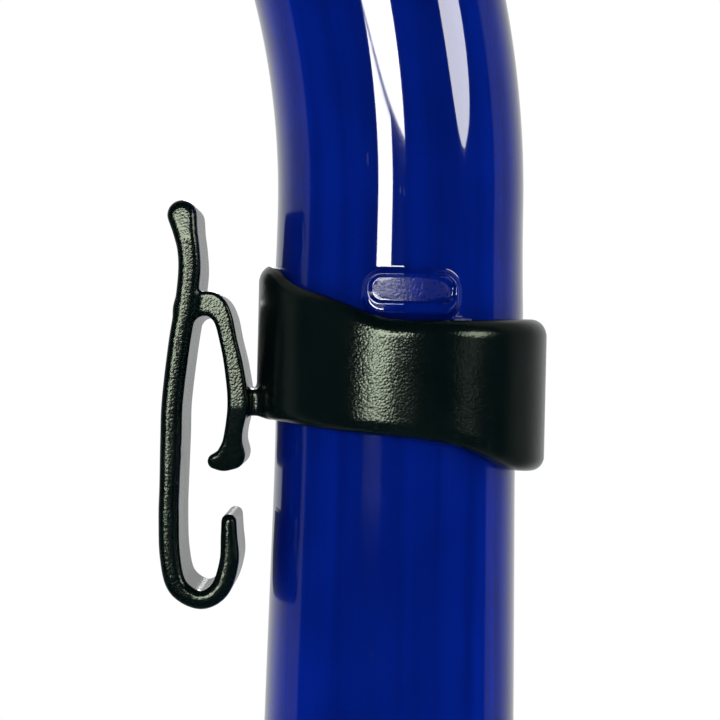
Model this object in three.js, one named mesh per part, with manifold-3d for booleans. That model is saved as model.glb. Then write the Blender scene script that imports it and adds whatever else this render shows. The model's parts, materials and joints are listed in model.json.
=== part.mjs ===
// A snorkel with a bent barrel, a mask strap keeper, a dry top and a flexible mouthpiece unit.
// Millimetres, +Z up. The barrel stands upright behind a mask strap that runs along Y through the
// keeper's slot; the barrel's top and its mouthpiece both bend towards the wearer's head, at -X.
// The model is drawn about the barrel's axis, at the height where the keeper grips it, and the
// whole group is then moved so that the origin is the middle of the keeper's strap slot.
import * as THREE from "three";
import { mergeVertices } from "three/addons/utils/BufferGeometryUtils.js";
import Module from "manifold-3d";

const wasm = await Module();
wasm.setup();

// Driving dimensions
const BARREL_RADIUS = 12.25;
const BORE_RADIUS = 10.45;
const SEAT_RADIUS = 12.0; // the waist that the keeper turns on
const FOOT_RADIUS = 12.5; // below the waist the barrel swells to this
const BARREL_FOOT = -100;
const BEND_START = 15;
const BEND_RADIUS = 90;
const BEND_ANGLE = THREE.MathUtils.degToRad(28);
const TOP_STRAIGHT = 110;
const FIT_GAP = 0.3; // between pieces that touch on the real object

const COLLAR_RADIUS = 14.4;
const COLLAR_OFFSET = 0.45; // the collar's wall is thicker on the side away from the hook
const HOOK_DEPTH = 12;
const STRAP_SLOT = { x: -19, z: -9 };
const LUG_ANGLE = THREE.MathUtils.degToRad(5);

const HEAD_WALL = 1.8;
const FLOAT_AXIS = 20; // from the barrel's axis to the float chamber's
const VALVE_PIVOT = { x: 13.6, z: 8 };
const VALVE_OPENING = THREE.MathUtils.degToRad(20);
const VALVE_TAIL = 10;

const HOSE_TOP = -84;
const HOSE_STRAIGHT = 20;
const HOSE_BEND_RADIUS = 60;
const HOSE_BEND_ANGLE = THREE.MathUtils.degToRad(42);
const HOSE_CUFF = 14;

const OUTLET_TILT = THREE.MathUtils.degToRad(27);
const OUTLET_HEIGHT = -16; // where the outlet's axis leaves the chamber's
const OUTLET_LENGTH = 35;
const PURGE_HEIGHT = -44;

const FINISH = {
  barrel: { color: 0x0b1f9e, roughness: 0.12, metalness: 0 },
  keeper: { color: 0x151715, roughness: 0.5, metalness: 0 },
  black: { color: 0x141516, roughness: 0.45, metalness: 0 },
  blue: { color: 0x14249a, roughness: 0.3, metalness: 0 },
  silicone: { color: 0x1c1d1f, roughness: 0.6, metalness: 0 },
  clear: { color: 0xd8dde2, roughness: 0.35, metalness: 0 },
  foam: { color: 0xe6e2d4, roughness: 0.8, metalness: 0 },
  steel: { color: 0xb9bcc0, roughness: 0.3, metalness: 1 },
  orange: { color: 0xf2551c, roughness: 0.5, metalness: 0 },
};

// Shape helpers

function closedSolid(geometry) {
  const bare = geometry.clone();
  for (const name of ["normal", "uv"]) bare.deleteAttribute(name);
  const merged = mergeVertices(bare, 1e-4);
  return new wasm.Manifold(
    new wasm.Mesh({
      numProp: 3,
      vertProperties: merged.attributes.position.array,
      triVerts: new Uint32Array(merged.index.array),
    }),
  );
}

function geometryOf(solid) {
  const { vertProperties, triVerts } = solid.getMesh();
  const geometry = new THREE.BufferGeometry();
  geometry.setAttribute("position", new THREE.BufferAttribute(vertProperties, 3));
  geometry.setIndex(new THREE.BufferAttribute(triVerts, 1));
  geometry.computeVertexNormals();
  return geometry;
}

const joined = (...pieces) => pieces.map(closedSolid).reduce((a, b) => a.add(b));

// Pieces joined into one, with others cut away from it.
function carved(pieces, cuts = []) {
  const whole = joined(...pieces);
  return geometryOf(cuts.length ? whole.subtract(joined(...cuts)) : whole);
}

// A solid of revolution about +Z. Its [radius, height] points run up the outside and down the
// inside, or from axis to axis.
function turned(points, segments = 28) {
  const profile = points.map(([r, z]) => new THREE.Vector2(r, z));
  if (points[0][0] > 0) profile.push(profile[0].clone());
  return new THREE.LatheGeometry(profile, segments).rotateX(Math.PI / 2);
}

const ring = (inner, outer, low, high, segments) =>
  turned([[inner, low], [outer, low], [outer, high], [inner, high]], segments);

const rod = (radius, low, high, segments = 24) =>
  turned([[0, low], [radius, low], [radius, high], [0, high]], segments);

const box = (x0, x1, y0, y1, z0, z1) =>
  new THREE.BoxGeometry(x1 - x0, y1 - y0, z1 - z0)
    .translate((x0 + x1) / 2, (y0 + y1) / 2, (z0 + z1) / 2);

// An outline in X and Y, raised from low to high along Z.
const raised = (shape, low, high, curveSegments = 8) =>
  new THREE.ExtrudeGeometry(shape, { depth: high - low, bevelEnabled: false, curveSegments })
    .translate(0, 0, low);

// An outline in X and Z, as deep along Y as stated and centred on y = 0.
const slab = (shape, depth, curveSegments) =>
  raised(shape, -depth / 2, depth / 2, curveSegments).rotateX(Math.PI / 2);

// A rod along Y through (x, z).
const crossRod = (radius, x, z, halfLength, segments = 16) =>
  rod(radius, -halfLength, halfLength, segments).rotateX(Math.PI / 2).translate(x, 0, z);

// The outline of a strip that follows [x, z, half width] points, with round ends.
function strip(points) {
  const steps = 2 * points.length;
  const curve = new THREE.CatmullRomCurve3(
    points.map(([x, z, w]) => new THREE.Vector3(x, z, w)), false, "centripetal");
  const left = [];
  const right = [];
  const ends = [];
  for (let i = 0; i <= steps; i++) {
    const p = curve.getPoint(i / steps);
    const t = curve.getTangent(i / steps).setZ(0).normalize();
    left.push(new THREE.Vector2(p.x - t.y * p.z, p.y + t.x * p.z));
    right.unshift(new THREE.Vector2(p.x + t.y * p.z, p.y - t.x * p.z));
    if (i === 0 || i === steps) ends.push({ p, angle: Math.atan2(t.y, t.x) });
  }
  const cap = ({ p, angle }, turn) => [1, 2, 3, 4].map((k) => {
    const a = angle + turn - (k * Math.PI) / 5;
    return new THREE.Vector2(p.x + p.z * Math.cos(a), p.y + p.z * Math.sin(a));
  });
  return new THREE.Shape([
    ...left, ...cap(ends[1], Math.PI / 2), ...right, ...cap(ends[0], -Math.PI / 2)]);
}

function roundedRectangle(width, height, radius) {
  const shape = new THREE.Shape();
  const [x, y] = [width / 2 - radius, height / 2 - radius];
  shape.absarc(x, y, radius, 0, Math.PI / 2);
  shape.absarc(-x, y, radius, Math.PI / 2, Math.PI);
  shape.absarc(-x, -y, radius, Math.PI, Math.PI * 1.5);
  shape.absarc(x, -y, radius, Math.PI * 1.5, Math.PI * 2);
  return shape;
}

// A way made of a straight, a round bend towards -X and a second straight, in the plane y = 0.
// It starts at (0, start), and sense is 1 upwards or -1 downwards. A point of a piece that was
// drawn straight along Z moves to where the bent way takes it.
function bentAlong(geometry, { start, straight, radius, angle, sense }) {
  const p = geometry.attributes.position;
  for (let i = 0; i < p.count; i++) {
    const along = (p.getZ(i) - start) * sense - straight;
    const turn = THREE.MathUtils.clamp(along / radius, 0, angle);
    const past = along - turn * radius;
    const side = radius + p.getX(i);
    const x = side * Math.cos(turn) - radius - past * Math.sin(turn);
    const z = side * Math.sin(turn) + past * Math.cos(turn);
    p.setXYZ(i, x, p.getY(i), start + sense * (straight + z));
  }
  return geometry;
}

const steps = (low, high, count, radius) =>
  Array.from({ length: count + 1 }, (_, i) => [radius, low + ((high - low) * i) / count]);

function piece(name, finish, geometry) {
  const mesh = new THREE.Mesh(geometry, new THREE.MeshStandardMaterial(FINISH[finish]));
  mesh.name = name;
  return mesh;
}

// Barrel

const BEND_END = BEND_START + BEND_RADIUS * BEND_ANGLE;
const BARREL_TOP = BEND_END + TOP_STRAIGHT;
const BARREL_WAY = {
  start: BARREL_FOOT, straight: BEND_START - BARREL_FOOT, radius: BEND_RADIUS,
  angle: BEND_ANGLE, sense: 1,
};
const O_RING = { below: 8.6, thickness: 1.0, radius: 11.75 };

// The lug keeps the keeper from riding up, and ends its turn. It is a raised pad with a recess.
const LUG = { middle: 6.75, width: 9, height: 4.9, radius: 13.15 };
const LUG_RECESS = { width: 7.6, height: 2.7, radius: 12.6 };

function stopLug() {
  const outline = ({ width, height }, corner) =>
    slab(roundedRectangle(width, height, corner), 40, 3).translate(0, -20, LUG.middle);
  const drum = (radius) => closedSolid(rod(radius, 0, 14, 40));
  const pad = closedSolid(outline(LUG, 1.5)).intersect(drum(LUG.radius));
  const recess = closedSolid(outline(LUG_RECESS, 1.3)).subtract(drum(LUG_RECESS.radius));
  const turn = (solid) => solid.rotate(0, 0, THREE.MathUtils.radToDeg(LUG_ANGLE));
  return { pad: turn(pad.subtract(drum(11.5))), recess: turn(recess) };
}

function barrelTube() {
  const groove = BARREL_TOP - O_RING.below;
  const half = O_RING.thickness / 2 + FIT_GAP;
  const tube = bentAlong(turned([
    [BORE_RADIUS, BARREL_FOOT], [10.9, BARREL_FOOT], [11.3, -99.2], [11.3, HOSE_TOP],
    [FOOT_RADIUS, HOSE_TOP], [FOOT_RADIUS, -42], [12.4, -33], [12.15, -20],
    [SEAT_RADIUS, -11], [SEAT_RADIUS, 3.3], [12.55, 4.1], [12.55, 4.9], [12.3, 6.4],
    ...steps(BEND_START, BEND_END, 7, BARREL_RADIUS),
    [BARREL_RADIUS, groove - half], [10.95, groove - half], [10.95, groove + half],
    [BARREL_RADIUS, groove + half], [BARREL_RADIUS, BARREL_TOP - 0.5],
    [11.8, BARREL_TOP], [9.9, BARREL_TOP], [9.9, BARREL_TOP - 14],
    ...steps(BEND_END, BEND_START, 5, BORE_RADIUS),
  ], 32), BARREL_WAY);
  const { pad, recess } = stopLug();
  return piece("barrel_tube", "barrel", geometryOf(closedSolid(tube).add(pad).subtract(recess)));
}

function barrelSleeve(name, finish, inner, outer, low, high) {
  const geometry = bentAlong(ring(inner, outer, low, high, 36), BARREL_WAY);
  return piece(name, finish, geometry);
}

function barrelSealRing() {
  const { radius, thickness, below } = O_RING;
  const middle = BARREL_TOP - below;
  const r = thickness / 2;
  const round = Array.from({ length: 6 }, (_, i) => {
    const a = (i * Math.PI) / 3;
    return [radius - r * Math.cos(a), middle - r * Math.sin(a)];
  });
  return piece("barrel_o_ring", "silicone", bentAlong(turned(round, 24), BARREL_WAY));
}

// Strap keeper: a collar that turns on the barrel, and a hook for the mask strap, in one moulding

const COLLAR_EDGE = {
  top: [[-15, 9.2], [-12.6, 9.1], [-10.8, 7.8], [-8.6, 6.3], [-6.1, 5.5], [-4.2, 4.6],
    [-2.6, 3.85], [0, 3.7], [6, 3.75], [11, 3.9], [16, 4.1]],
  bottom: [[-15, -5.9], [-11.8, -6.2], [-6, -6.7], [0, -7.1], [4, -7.5], [7.2, -8.3],
    [10, -9.4], [12.5, -10.3], [16, -10.6]],
};
const HOOK_SPINE = [
  [-21.6, 13.4, 1.1], [-21.0, 11.6, 1.15], [-20.75, 8.5, 1.0], [-20.95, 5, 1.0],
  [-21.45, 1, 1.0], [-21.95, -4.4, 0.93], [-22.0, -8, 0.93], [-22.0, -12.6, 0.93],
  [-21.95, -15.6, 0.93], [-21.6, -19.6, 1.0],
  [-20.6, -22.3, 0.95], [-18.6, -23.55, 0.85], [-16.7, -22.6, 0.95], [-15.8, -20, 1.0],
  [-15.8, -17.5, 1.0], [-15.95, -15.8, 0.85]];
const STRAP_FACE = { x: -21.04, low: -14.5, high: -6, thickness: 1.9 }; // flat, for the strap
const HOOK_ARM = [
  [-20.7, 4.6, 1.2], [-19.2, 5.1, 1.2], [-17.9, 5.0, 1.2], [-16.85, 3.8, 0.95],
  [-16.3, 1.6, 0.87], [-15.75, -1, 0.93], [-15.3, -4.4, 1.0], [-15.45, -8.2, 0.95],
  [-15.75, -9.9, 1.25]];
const HOOK_BARB = [[-15.8, -10.0, 1.2], [-16.7, -10.15, 0.95], [-17.55, -10.15, 0.72]];

function strapKeeper() {
  const smooth = (points) =>
    new THREE.SplineCurve(points.map(([x, z]) => new THREE.Vector2(x, z))).getPoints(16);
  const edge = new THREE.Shape([
    ...smooth(COLLAR_EDGE.bottom), ...smooth(COLLAR_EDGE.top).reverse()]);
  const collar = closedSolid(rod(COLLAR_RADIUS, -12, 11, 44).translate(COLLAR_OFFSET, 0, 0))
    .intersect(closedSolid(slab(edge, 40)));
  const half = HOOK_DEPTH / 2;
  const neck = box(-15.6, -12.2, -half, half, -5.7, -3.1);
  const { x, low, high, thickness } = STRAP_FACE;
  const leg = box(x - thickness, x, -half, half, low, high);
  const hook = [HOOK_SPINE, HOOK_ARM, HOOK_BARB].map((points) => slab(strip(points), HOOK_DEPTH));
  const bore = [
    rod(SEAT_RADIUS + FIT_GAP, -20, 20, 40),
    rod(12.85, 3.3, 20, 40), // relieved where it passes over the barrel's shoulder
  ];
  const whole = collar.add(joined(neck, leg, ...hook)).subtract(joined(...bore));
  return piece("strap_keeper", "keeper", geometryOf(whole));
}

// Dry top, drawn about the barrel's end, with its own +Z along the barrel

// The outline that wraps two circles on the X axis, the second one centred at FLOAT_AXIS.
function eggOutline(radiusA, radiusB) {
  const lean = Math.acos((radiusA - radiusB) / FLOAT_AXIS);
  const shape = new THREE.Shape();
  shape.absarc(0, 0, radiusA, lean, 2 * Math.PI - lean);
  shape.absarc(FLOAT_AXIS, 0, radiusB, -lean, lean);
  return shape;
}

// A round chamber's outline with a bite taken out of it by a circle about the barrel's axis.
function crescentOutline(outer, bite) {
  const x = (bite ** 2 - outer ** 2 + FLOAT_AXIS ** 2) / (2 * FLOAT_AXIS);
  const y = Math.sqrt(bite ** 2 - x ** 2);
  const a = Math.atan2(y, x - FLOAT_AXIS);
  const b = Math.atan2(y, x);
  const shape = new THREE.Shape();
  shape.absarc(FLOAT_AXIS, 0, outer, -a, a);
  shape.absarc(0, 0, bite, b, -b, true);
  return shape;
}

const HEAD = { a: 17, b: 15, foot: -24, deck: 2.3, seat: 5, rim: 12, roof: 20.5, socket: -32 };

function slots(count, from, to, radius, centre, width, low, high) {
  return Array.from({ length: count }, (_, i) => {
    const angle = from + ((to - from) * i) / Math.max(1, count - 1);
    return box(radius - 5, radius + 5, -width / 2, width / 2, low, high)
      .rotateZ(angle).translate(centre, 0, 0);
  });
}

function headBase() {
  const inner = eggOutline(HEAD.a - HEAD_WALL, HEAD.b - HEAD_WALL);
  const chamber = crescentOutline(HEAD.b - HEAD_WALL, 14.8);
  const drains = [-5, 5].map((y) => rod(2, HEAD.foot - 1, HEAD.foot + 4, 12)
    .translate(FLOAT_AXIS + 4, y, 0));
  const shell = closedSolid(raised(eggOutline(HEAD.a, HEAD.b), HEAD.foot, HEAD.rim))
    .subtract(joined(raised(inner, HEAD.deck, HEAD.rim + 1),
      raised(chamber, HEAD.foot + HEAD_WALL, HEAD.deck + 1)));
  const socket = turned([[0, HEAD.socket], [14.2, HEAD.socket], [14.8, HEAD.socket + 1],
    [14.8, HEAD.foot + 1], [0, HEAD.foot + 1]], 36);
  const whole = shell.add(joined(socket, rod(11, 0, HEAD.seat, 36)))
    .subtract(joined(
      rod(BARREL_RADIUS + FIT_GAP, HEAD.socket - 1, FIT_GAP, 36),
      rod(9.2, -1, HEAD.seat + 1, 32),
      ...drains,
      crossRod(1.3, VALVE_PIVOT.x, VALVE_PIVOT.z, 20),
      ...slots(5, 1.9, 2 * Math.PI - 1.9, HEAD.a, 0, 3, 5.4, 10),
      ...slots(3, -0.7, 0.7, HEAD.b, FLOAT_AXIS, 2.6, -18, 6)));
  return piece("head_base", "black", geometryOf(whole));
}

function headCap() {
  const low = HEAD.rim + FIT_GAP;
  const lip = HEAD_WALL + FIT_GAP;
  const dome = new THREE.ExtrudeGeometry(eggOutline(HEAD.a - 3, HEAD.b - 3), {
    depth: HEAD.roof - low - 3, bevelThickness: 3, bevelSize: 3, bevelSegments: 3, curveSegments: 8,
  }).translate(0, 0, low);
  const skirt = raised(eggOutline(HEAD.a - lip, HEAD.b - lip), HEAD.rim - 2.4, low + 1);
  const keepAboveRim = closedSolid(box(-40, 60, -40, 40, low, 60));
  const shell = closedSolid(dome).intersect(keepAboveRim).add(closedSolid(skirt));
  const hollow = eggOutline(HEAD.a - lip - 1.3, HEAD.b - lip - 1.3);
  const whole = shell.subtract(joined(
    raised(hollow, HEAD.rim - 3, HEAD.roof - HEAD_WALL),
    ...slots(7, 1.5, 2 * Math.PI - 1.5, HEAD.a, 0, 2.4, HEAD.rim + 1.8, HEAD.rim + 5.4),
    ...slots(5, -1, 1, HEAD.b, FLOAT_AXIS, 2.4, HEAD.rim + 1.8, HEAD.rim + 5.4)));
  return piece("head_cap", "blue", geometryOf(whole));
}

function valvePin() {
  return piece("valve_pin", "steel", crossRod(1, VALVE_PIVOT.x, VALVE_PIVOT.z, 15.2, 12));
}

// The float stays clear of the valve lever's hub when it is up.
const FLOAT = { outer: 12.5, bite: 15.5, foot: -19, top: 2.3 };

function float() {
  const pinAtRest = VALVE_PIVOT.z - VALVE_TAIL * Math.sin(VALVE_OPENING / 2);
  const lugX = VALVE_PIVOT.x + VALVE_TAIL;
  const block = raised(crescentOutline(FLOAT.outer, FLOAT.bite), FLOAT.foot, FLOAT.top);
  const lugs = [-4.4, 4.4].map((y) =>
    box(lugX - 2.6, lugX + 2.6, y - 0.8, y + 0.8, 2, pinAtRest + 2.6));
  const slotted = box(lugX - 1.5, lugX + 1.5, -8, 8, pinAtRest - 1.25, pinAtRest + 1.25);
  return piece("float", "foam", carved([block, ...lugs], [slotted]));
}

// The flap's parts are drawn shut, about the pivot, and their group is turned open.
function valveFlap() {
  const { x, z } = VALVE_PIVOT;
  const group = new THREE.Group();
  group.position.set(x, 0, z);
  group.rotation.y = VALVE_OPENING;
  const sealLow = HEAD.seat + FIT_GAP;
  const sealHigh = sealLow + 1.6;
  const carrierLow = sealHigh + FIT_GAP;
  const carrierHigh = carrierLow + 1.4;
  const rise = VALVE_OPENING / 2;
  const tail = box(0, VALVE_TAIL, -2.4, 2.4, -0.8, 0.8).rotateY(-rise);
  const tailPin = crossRod(0.9, VALVE_TAIL * Math.cos(rise), VALVE_TAIL * Math.sin(rise), 5.6, 12);
  const carrier = [
    rod(10.2, carrierLow, carrierHigh, 28).translate(-x, 0, -z),
    box(-6.5, 0, -4.5, 4.5, carrierLow - z, carrierHigh - z),
    crossRod(2.3, 0, 0, 5),
    tail,
    tailPin,
  ];
  const cuts = [
    crossRod(1.3, 0, 0, 8),
    rod(1.9, carrierLow - 1, carrierHigh + 1, 12).translate(-x, 0, -z),
  ];
  const seal = turned([[0, sealLow], [10.8, sealLow], [10.8, sealHigh], [1.6, sealHigh],
    [1.6, carrierHigh + FIT_GAP], [2.6, carrierHigh + FIT_GAP], [1.8, carrierHigh + 1.7],
    [0, carrierHigh + 1.7]], 28).translate(-x, 0, -z);
  group.add(piece("valve_lever", "blue", carved(carrier, cuts)));
  group.add(piece("valve_seal", "silicone", seal));
  return group;
}

function dryTop() {
  const group = new THREE.Group();
  const lean = BEND_ANGLE;
  group.position.set(
    -BEND_RADIUS * (1 - Math.cos(lean)) - TOP_STRAIGHT * Math.sin(lean), 0,
    BEND_START + BEND_RADIUS * Math.sin(lean) + TOP_STRAIGHT * Math.cos(lean));
  group.rotation.y = -lean;
  group.add(headBase(), headCap(), valvePin(), float(), valveFlap());
  return group;
}

// Flexible hose, from the barrel's foot to the chamber

const HOSE_BEND_LENGTH = HOSE_BEND_RADIUS * HOSE_BEND_ANGLE;
const HOSE_LENGTH = HOSE_STRAIGHT + HOSE_BEND_LENGTH + HOSE_CUFF;
const HOSE_WAY = {
  start: HOSE_TOP, straight: HOSE_STRAIGHT, radius: HOSE_BEND_RADIUS,
  angle: HOSE_BEND_ANGLE, sense: -1,
};
const CUFF = { inner: 11.6, outer: 13.7, length: 15.5 };

function flexHose() {
  const foot = HOSE_TOP - HOSE_LENGTH;
  const ribs = 8;
  const low = foot + CUFF.length;
  const high = HOSE_TOP - CUFF.length - FIT_GAP;
  const ribLength = (high - low) / ribs;
  const outside = Array.from({ length: ribs }, (_, i) => {
    const z = low + i * ribLength;
    return [[11.5, z + 0.3 * ribLength], [14.2, z + 0.7 * ribLength]];
  }).flat();
  const geometry = turned([
    [CUFF.inner, foot + FIT_GAP], [CUFF.outer, foot + FIT_GAP], [CUFF.outer, low],
    ...outside,
    [CUFF.outer, high + 0.6], [CUFF.outer, HOSE_TOP - FIT_GAP], [CUFF.inner, HOSE_TOP - FIT_GAP],
    [CUFF.inner, BARREL_FOOT - FIT_GAP],
    ...steps(high - 0.5, low + 0.5, 5, 10.1),
    [CUFF.inner, foot + CUFF.length - 1],
  ], 24);
  return piece("flex_hose", "silicone", bentAlong(geometry, HOSE_WAY));
}

function hoseRing(name, from, to) {
  const geometry = ring(CUFF.outer + FIT_GAP, CUFF.outer + 1.6, to, from, 28);
  return piece(name, "blue", bentAlong(geometry, HOSE_WAY));
}

// Mouthpiece unit, drawn about the hose's lower end, with its own +Z up the hose

function chamberBody() {
  const outside = turned([
    [0, PURGE_HEIGHT], [15.6, PURGE_HEIGHT], [15.6, -41], [16.6, -41], [16.6, -38.6], [17.2, -37],
    [17.8, -32], [17.8, -20], [16.6, -11], [13.9, -2], [13.7, 0],
    [11.3, 0], [11.3, 12.4], [10.8, 13.2], [0, 13.2]], 28);
  const inside = turned([
    [0, PURGE_HEIGHT - 1], [13.6, PURGE_HEIGHT - 1], [13.6, -38], [15.8, -32], [15.8, -20],
    [14.4, -11], [9.4, -1], [9.4, 15], [0, 15]], 24);
  const alongOutlet = (geometry) =>
    geometry.rotateY(-Math.PI / 2 - OUTLET_TILT).translate(0, 0, OUTLET_HEIGHT);
  const outlet = turned([[0, 4], [11.5, 4], [11.5, 28.3], [10.9, 28.3], [10.9, 29.7], [11.5, 29.7],
    [11.5, OUTLET_LENGTH - 0.5], [11, OUTLET_LENGTH], [0, OUTLET_LENGTH]], 28);
  const bore = rod(9.6, 6, OUTLET_LENGTH + 1, 24);
  return piece("chamber_body", "black",
    carved([outside, alongOutlet(outlet)], [inside, alongOutlet(bore)]));
}

// The purge valve's grille carries the membrane's stem, and is pressed in the chamber's foot.
function purgeSeat() {
  const [low, high] = [-42, -40];
  const wedge = (angle) => {
    const shape = new THREE.Shape();
    shape.absarc(0, 0, 10.8, 0.14, Math.PI / 3 - 0.14);
    shape.absarc(0, 0, 4, Math.PI / 3 - 0.3, 0.3, true);
    return raised(shape, low - 1, high + 1, 3).rotateZ(angle);
  };
  const wedges = Array.from({ length: 6 }, (_, i) => wedge((i * Math.PI) / 3));
  return piece("purge_seat", "black",
    carved([ring(1.8, 13.3, low, high, 30)], wedges));
}

function purgeMembrane() {
  const top = -42 - FIT_GAP;
  return piece("purge_membrane", "clear", turned([
    [0, top - 1.4], [4, top - 1.3], [12.2, top - 0.6], [12.2, top], [1.5, top],
    [1.5, -38.4], [2.3, -38.0], [1.6, -36], [0, -35.6]], 24));
}

function purgeCover() {
  const [low, high] = [-52, -38.2];
  const shell = turned([
    [0, low], [15.4, low], [16.9, low + 0.7], [17.6, low + 2.2], [18.4, -43], [18.4, high],
    [16.9, high], [16.9, -41.3 - FIT_GAP], [15.9, -41.3 - FIT_GAP], [15.9, low + 2],
    [0, low + 2]], 30);
  const sideSlots = slots(10, 0, 1.8 * Math.PI, 18, 0, 4.2, low + 3, low + 6.2);
  const endSlots = [-8, -4, 4, 8].map((y) => {
    const half = Math.sqrt(12.6 ** 2 - y ** 2);
    return box(-half, half, y - 0.9, y + 0.9, low - 1, low + 3);
  });
  return piece("purge_cover", "blue", carved([shell], [...sideSlots, ...endSlots]));
}

function chamberUnit() {
  const group = new THREE.Group();
  const turn = HOSE_BEND_ANGLE;
  group.position.set(
    -HOSE_BEND_RADIUS * (1 - Math.cos(turn)) - HOSE_CUFF * Math.sin(turn), 0,
    HOSE_TOP - HOSE_STRAIGHT - HOSE_BEND_RADIUS * Math.sin(turn) - HOSE_CUFF * Math.cos(turn));
  group.rotation.y = turn;
  group.add(chamberBody(), purgeSeat(), purgeMembrane(), purgeCover(), mouthUnit());
  return group;
}

// What turns on the chamber's outlet, drawn about the outlet's end, with its own +Z to the mouth
// and its own +X up.

function swivelCollar() {
  return piece("swivel_collar", "blue", turned([
    [11.8, -7.6], [13.2, -7.6], [13.6, -7.1], [13.6, 1.2], [12.9, 2.2], [10.3, 2.2], [10.3, 11.5],
    [10.55, 12], [10.55, 13.4], [10.1, 14], [8.9, 14], [8.9, 0.4], [11.8, 0.4]], 24));
}

function swivelSealRing() {
  return piece("swivel_o_ring", "silicone", turned([
    [11.2, -6.4], [11.6, -6.4], [11.6, -5.6], [11.2, -5.6]], 24));
}

const LIP = { width: 58, height: 30, low: 23, thickness: 2.2, curve: 55 };
const BITE_TAB = { out: 15, width: 11, thickness: 5, height: 12, reach: 9.5, web: 4.5 };

function ellipse(height, width) {
  const shape = new THREE.Shape();
  shape.absellipse(0, 0, height / 2, width / 2, 0, 2 * Math.PI);
  return shape;
}

// The lip shield is an oval cut from a cylinder wall whose axis runs along X on the mouth side.
function lipShield() {
  const wall = ring(LIP.curve - LIP.thickness, LIP.curve, -30, 30, 72)
    .rotateY(Math.PI / 2).translate(0, 0, LIP.low + LIP.curve);
  const oval = raised(ellipse(LIP.height, LIP.width), LIP.low - 2, LIP.low + 14, 18);
  return closedSolid(wall).intersect(closedSolid(oval));
}

function mouthpiece() {
  const neck = turned([[0, 2.6], [12.8, 2.6], [12.8, 12.5], [12.2, 16], [11.2, LIP.low + 1],
    [0, LIP.low + 1]], 28);
  const { out, width, thickness, height, reach, web } = BITE_TAB;
  const tabs = [-1, 1].flatMap((side) => {
    const lean = side * Math.asin(out / LIP.curve);
    const place = (geometry) => geometry.rotateX(lean).translate(0, side * out, LIP.low + 2.2);
    return [
      place(box(-web / 2, web / 2, -width / 2 + 1, width / 2 - 1, 0, reach)),
      place(box(-height / 2, height / 2, -width / 2, width / 2, reach - 1, reach + thickness - 1)),
    ];
  });
  const airway = [
    rod(10.85, 2, 14.6, 28),
    turned([[0, 14.5], [10.85, 14.5], [9.0, 19], [0, 19]], 28),
    raised(ellipse(11, 18), 18, LIP.low + 12, 12),
  ];
  const whole = joined(neck, ...tabs).add(lipShield()).subtract(joined(...airway));
  return piece("mouthpiece", "silicone", geometryOf(whole));
}

function mouthpieceBand() {
  const [low, high] = [5.5, 10];
  return piece("mouthpiece_band", "black",
    carved([ring(13.1, 14.2, low, high, 28), box(13.4, 17, -2.6, 2.6, low, high)]));
}

function mouthUnit() {
  const group = new THREE.Group();
  group.position.set(-OUTLET_LENGTH * Math.cos(OUTLET_TILT), 0,
    OUTLET_HEIGHT - OUTLET_LENGTH * Math.sin(OUTLET_TILT));
  group.rotation.y = -Math.PI / 2 - OUTLET_TILT;
  group.add(swivelCollar(), swivelSealRing(), mouthpiece(), mouthpieceBand());
  return group;
}

const snorkel = new THREE.Group();
snorkel.position.set(-STRAP_SLOT.x, 0, -STRAP_SLOT.z);
snorkel.add(
  barrelTube(),
  barrelSealRing(),
  barrelSleeve("safety_band", "orange", BARREL_RADIUS + FIT_GAP, BARREL_RADIUS + 0.8,
    BARREL_TOP - 56, BARREL_TOP - 36),
  strapKeeper(),
  dryTop(),
  flexHose(),
  hoseRing("hose_ring_upper", HOSE_TOP - 3, HOSE_TOP - 10),
  hoseRing("hose_ring_lower", HOSE_TOP - HOSE_LENGTH + 10, HOSE_TOP - HOSE_LENGTH + 3),
  chamberUnit(),
);

export default snorkel;
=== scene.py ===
# %% [markdown]
# # A snorkel, built up around its frame
# The frame is a plain model of a snorkel that already has the right sizes and joints. This file
# gives every piece its finished surface and its finish. Each piece stays where the frame has it,
# so nothing is fitted by hand.

# %% Load the frame
import json
import bpy
import numpy as np
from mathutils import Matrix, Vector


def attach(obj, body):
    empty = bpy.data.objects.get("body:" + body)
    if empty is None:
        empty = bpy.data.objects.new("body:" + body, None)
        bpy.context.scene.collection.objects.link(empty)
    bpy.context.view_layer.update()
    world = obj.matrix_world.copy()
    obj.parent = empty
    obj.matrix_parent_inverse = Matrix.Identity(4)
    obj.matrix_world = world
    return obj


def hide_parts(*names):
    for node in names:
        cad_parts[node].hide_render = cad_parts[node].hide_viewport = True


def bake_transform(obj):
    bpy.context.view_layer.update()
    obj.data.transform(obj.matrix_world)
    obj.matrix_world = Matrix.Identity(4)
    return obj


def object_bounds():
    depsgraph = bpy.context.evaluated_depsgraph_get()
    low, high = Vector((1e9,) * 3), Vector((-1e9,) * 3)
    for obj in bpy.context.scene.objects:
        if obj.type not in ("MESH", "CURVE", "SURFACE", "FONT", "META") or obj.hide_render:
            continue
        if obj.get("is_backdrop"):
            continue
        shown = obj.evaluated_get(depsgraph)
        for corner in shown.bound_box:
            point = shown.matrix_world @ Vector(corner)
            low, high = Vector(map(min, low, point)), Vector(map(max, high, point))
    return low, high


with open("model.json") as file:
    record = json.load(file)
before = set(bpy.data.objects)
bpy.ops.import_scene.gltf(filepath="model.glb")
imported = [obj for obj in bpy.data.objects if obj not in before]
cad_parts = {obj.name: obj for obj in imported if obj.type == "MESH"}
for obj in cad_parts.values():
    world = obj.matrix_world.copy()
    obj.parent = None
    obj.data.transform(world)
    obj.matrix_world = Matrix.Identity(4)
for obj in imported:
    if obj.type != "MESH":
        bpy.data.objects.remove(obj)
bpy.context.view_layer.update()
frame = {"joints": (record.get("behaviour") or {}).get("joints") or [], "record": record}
joints = {joint["name"]: joint for joint in frame["joints"]}

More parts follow.
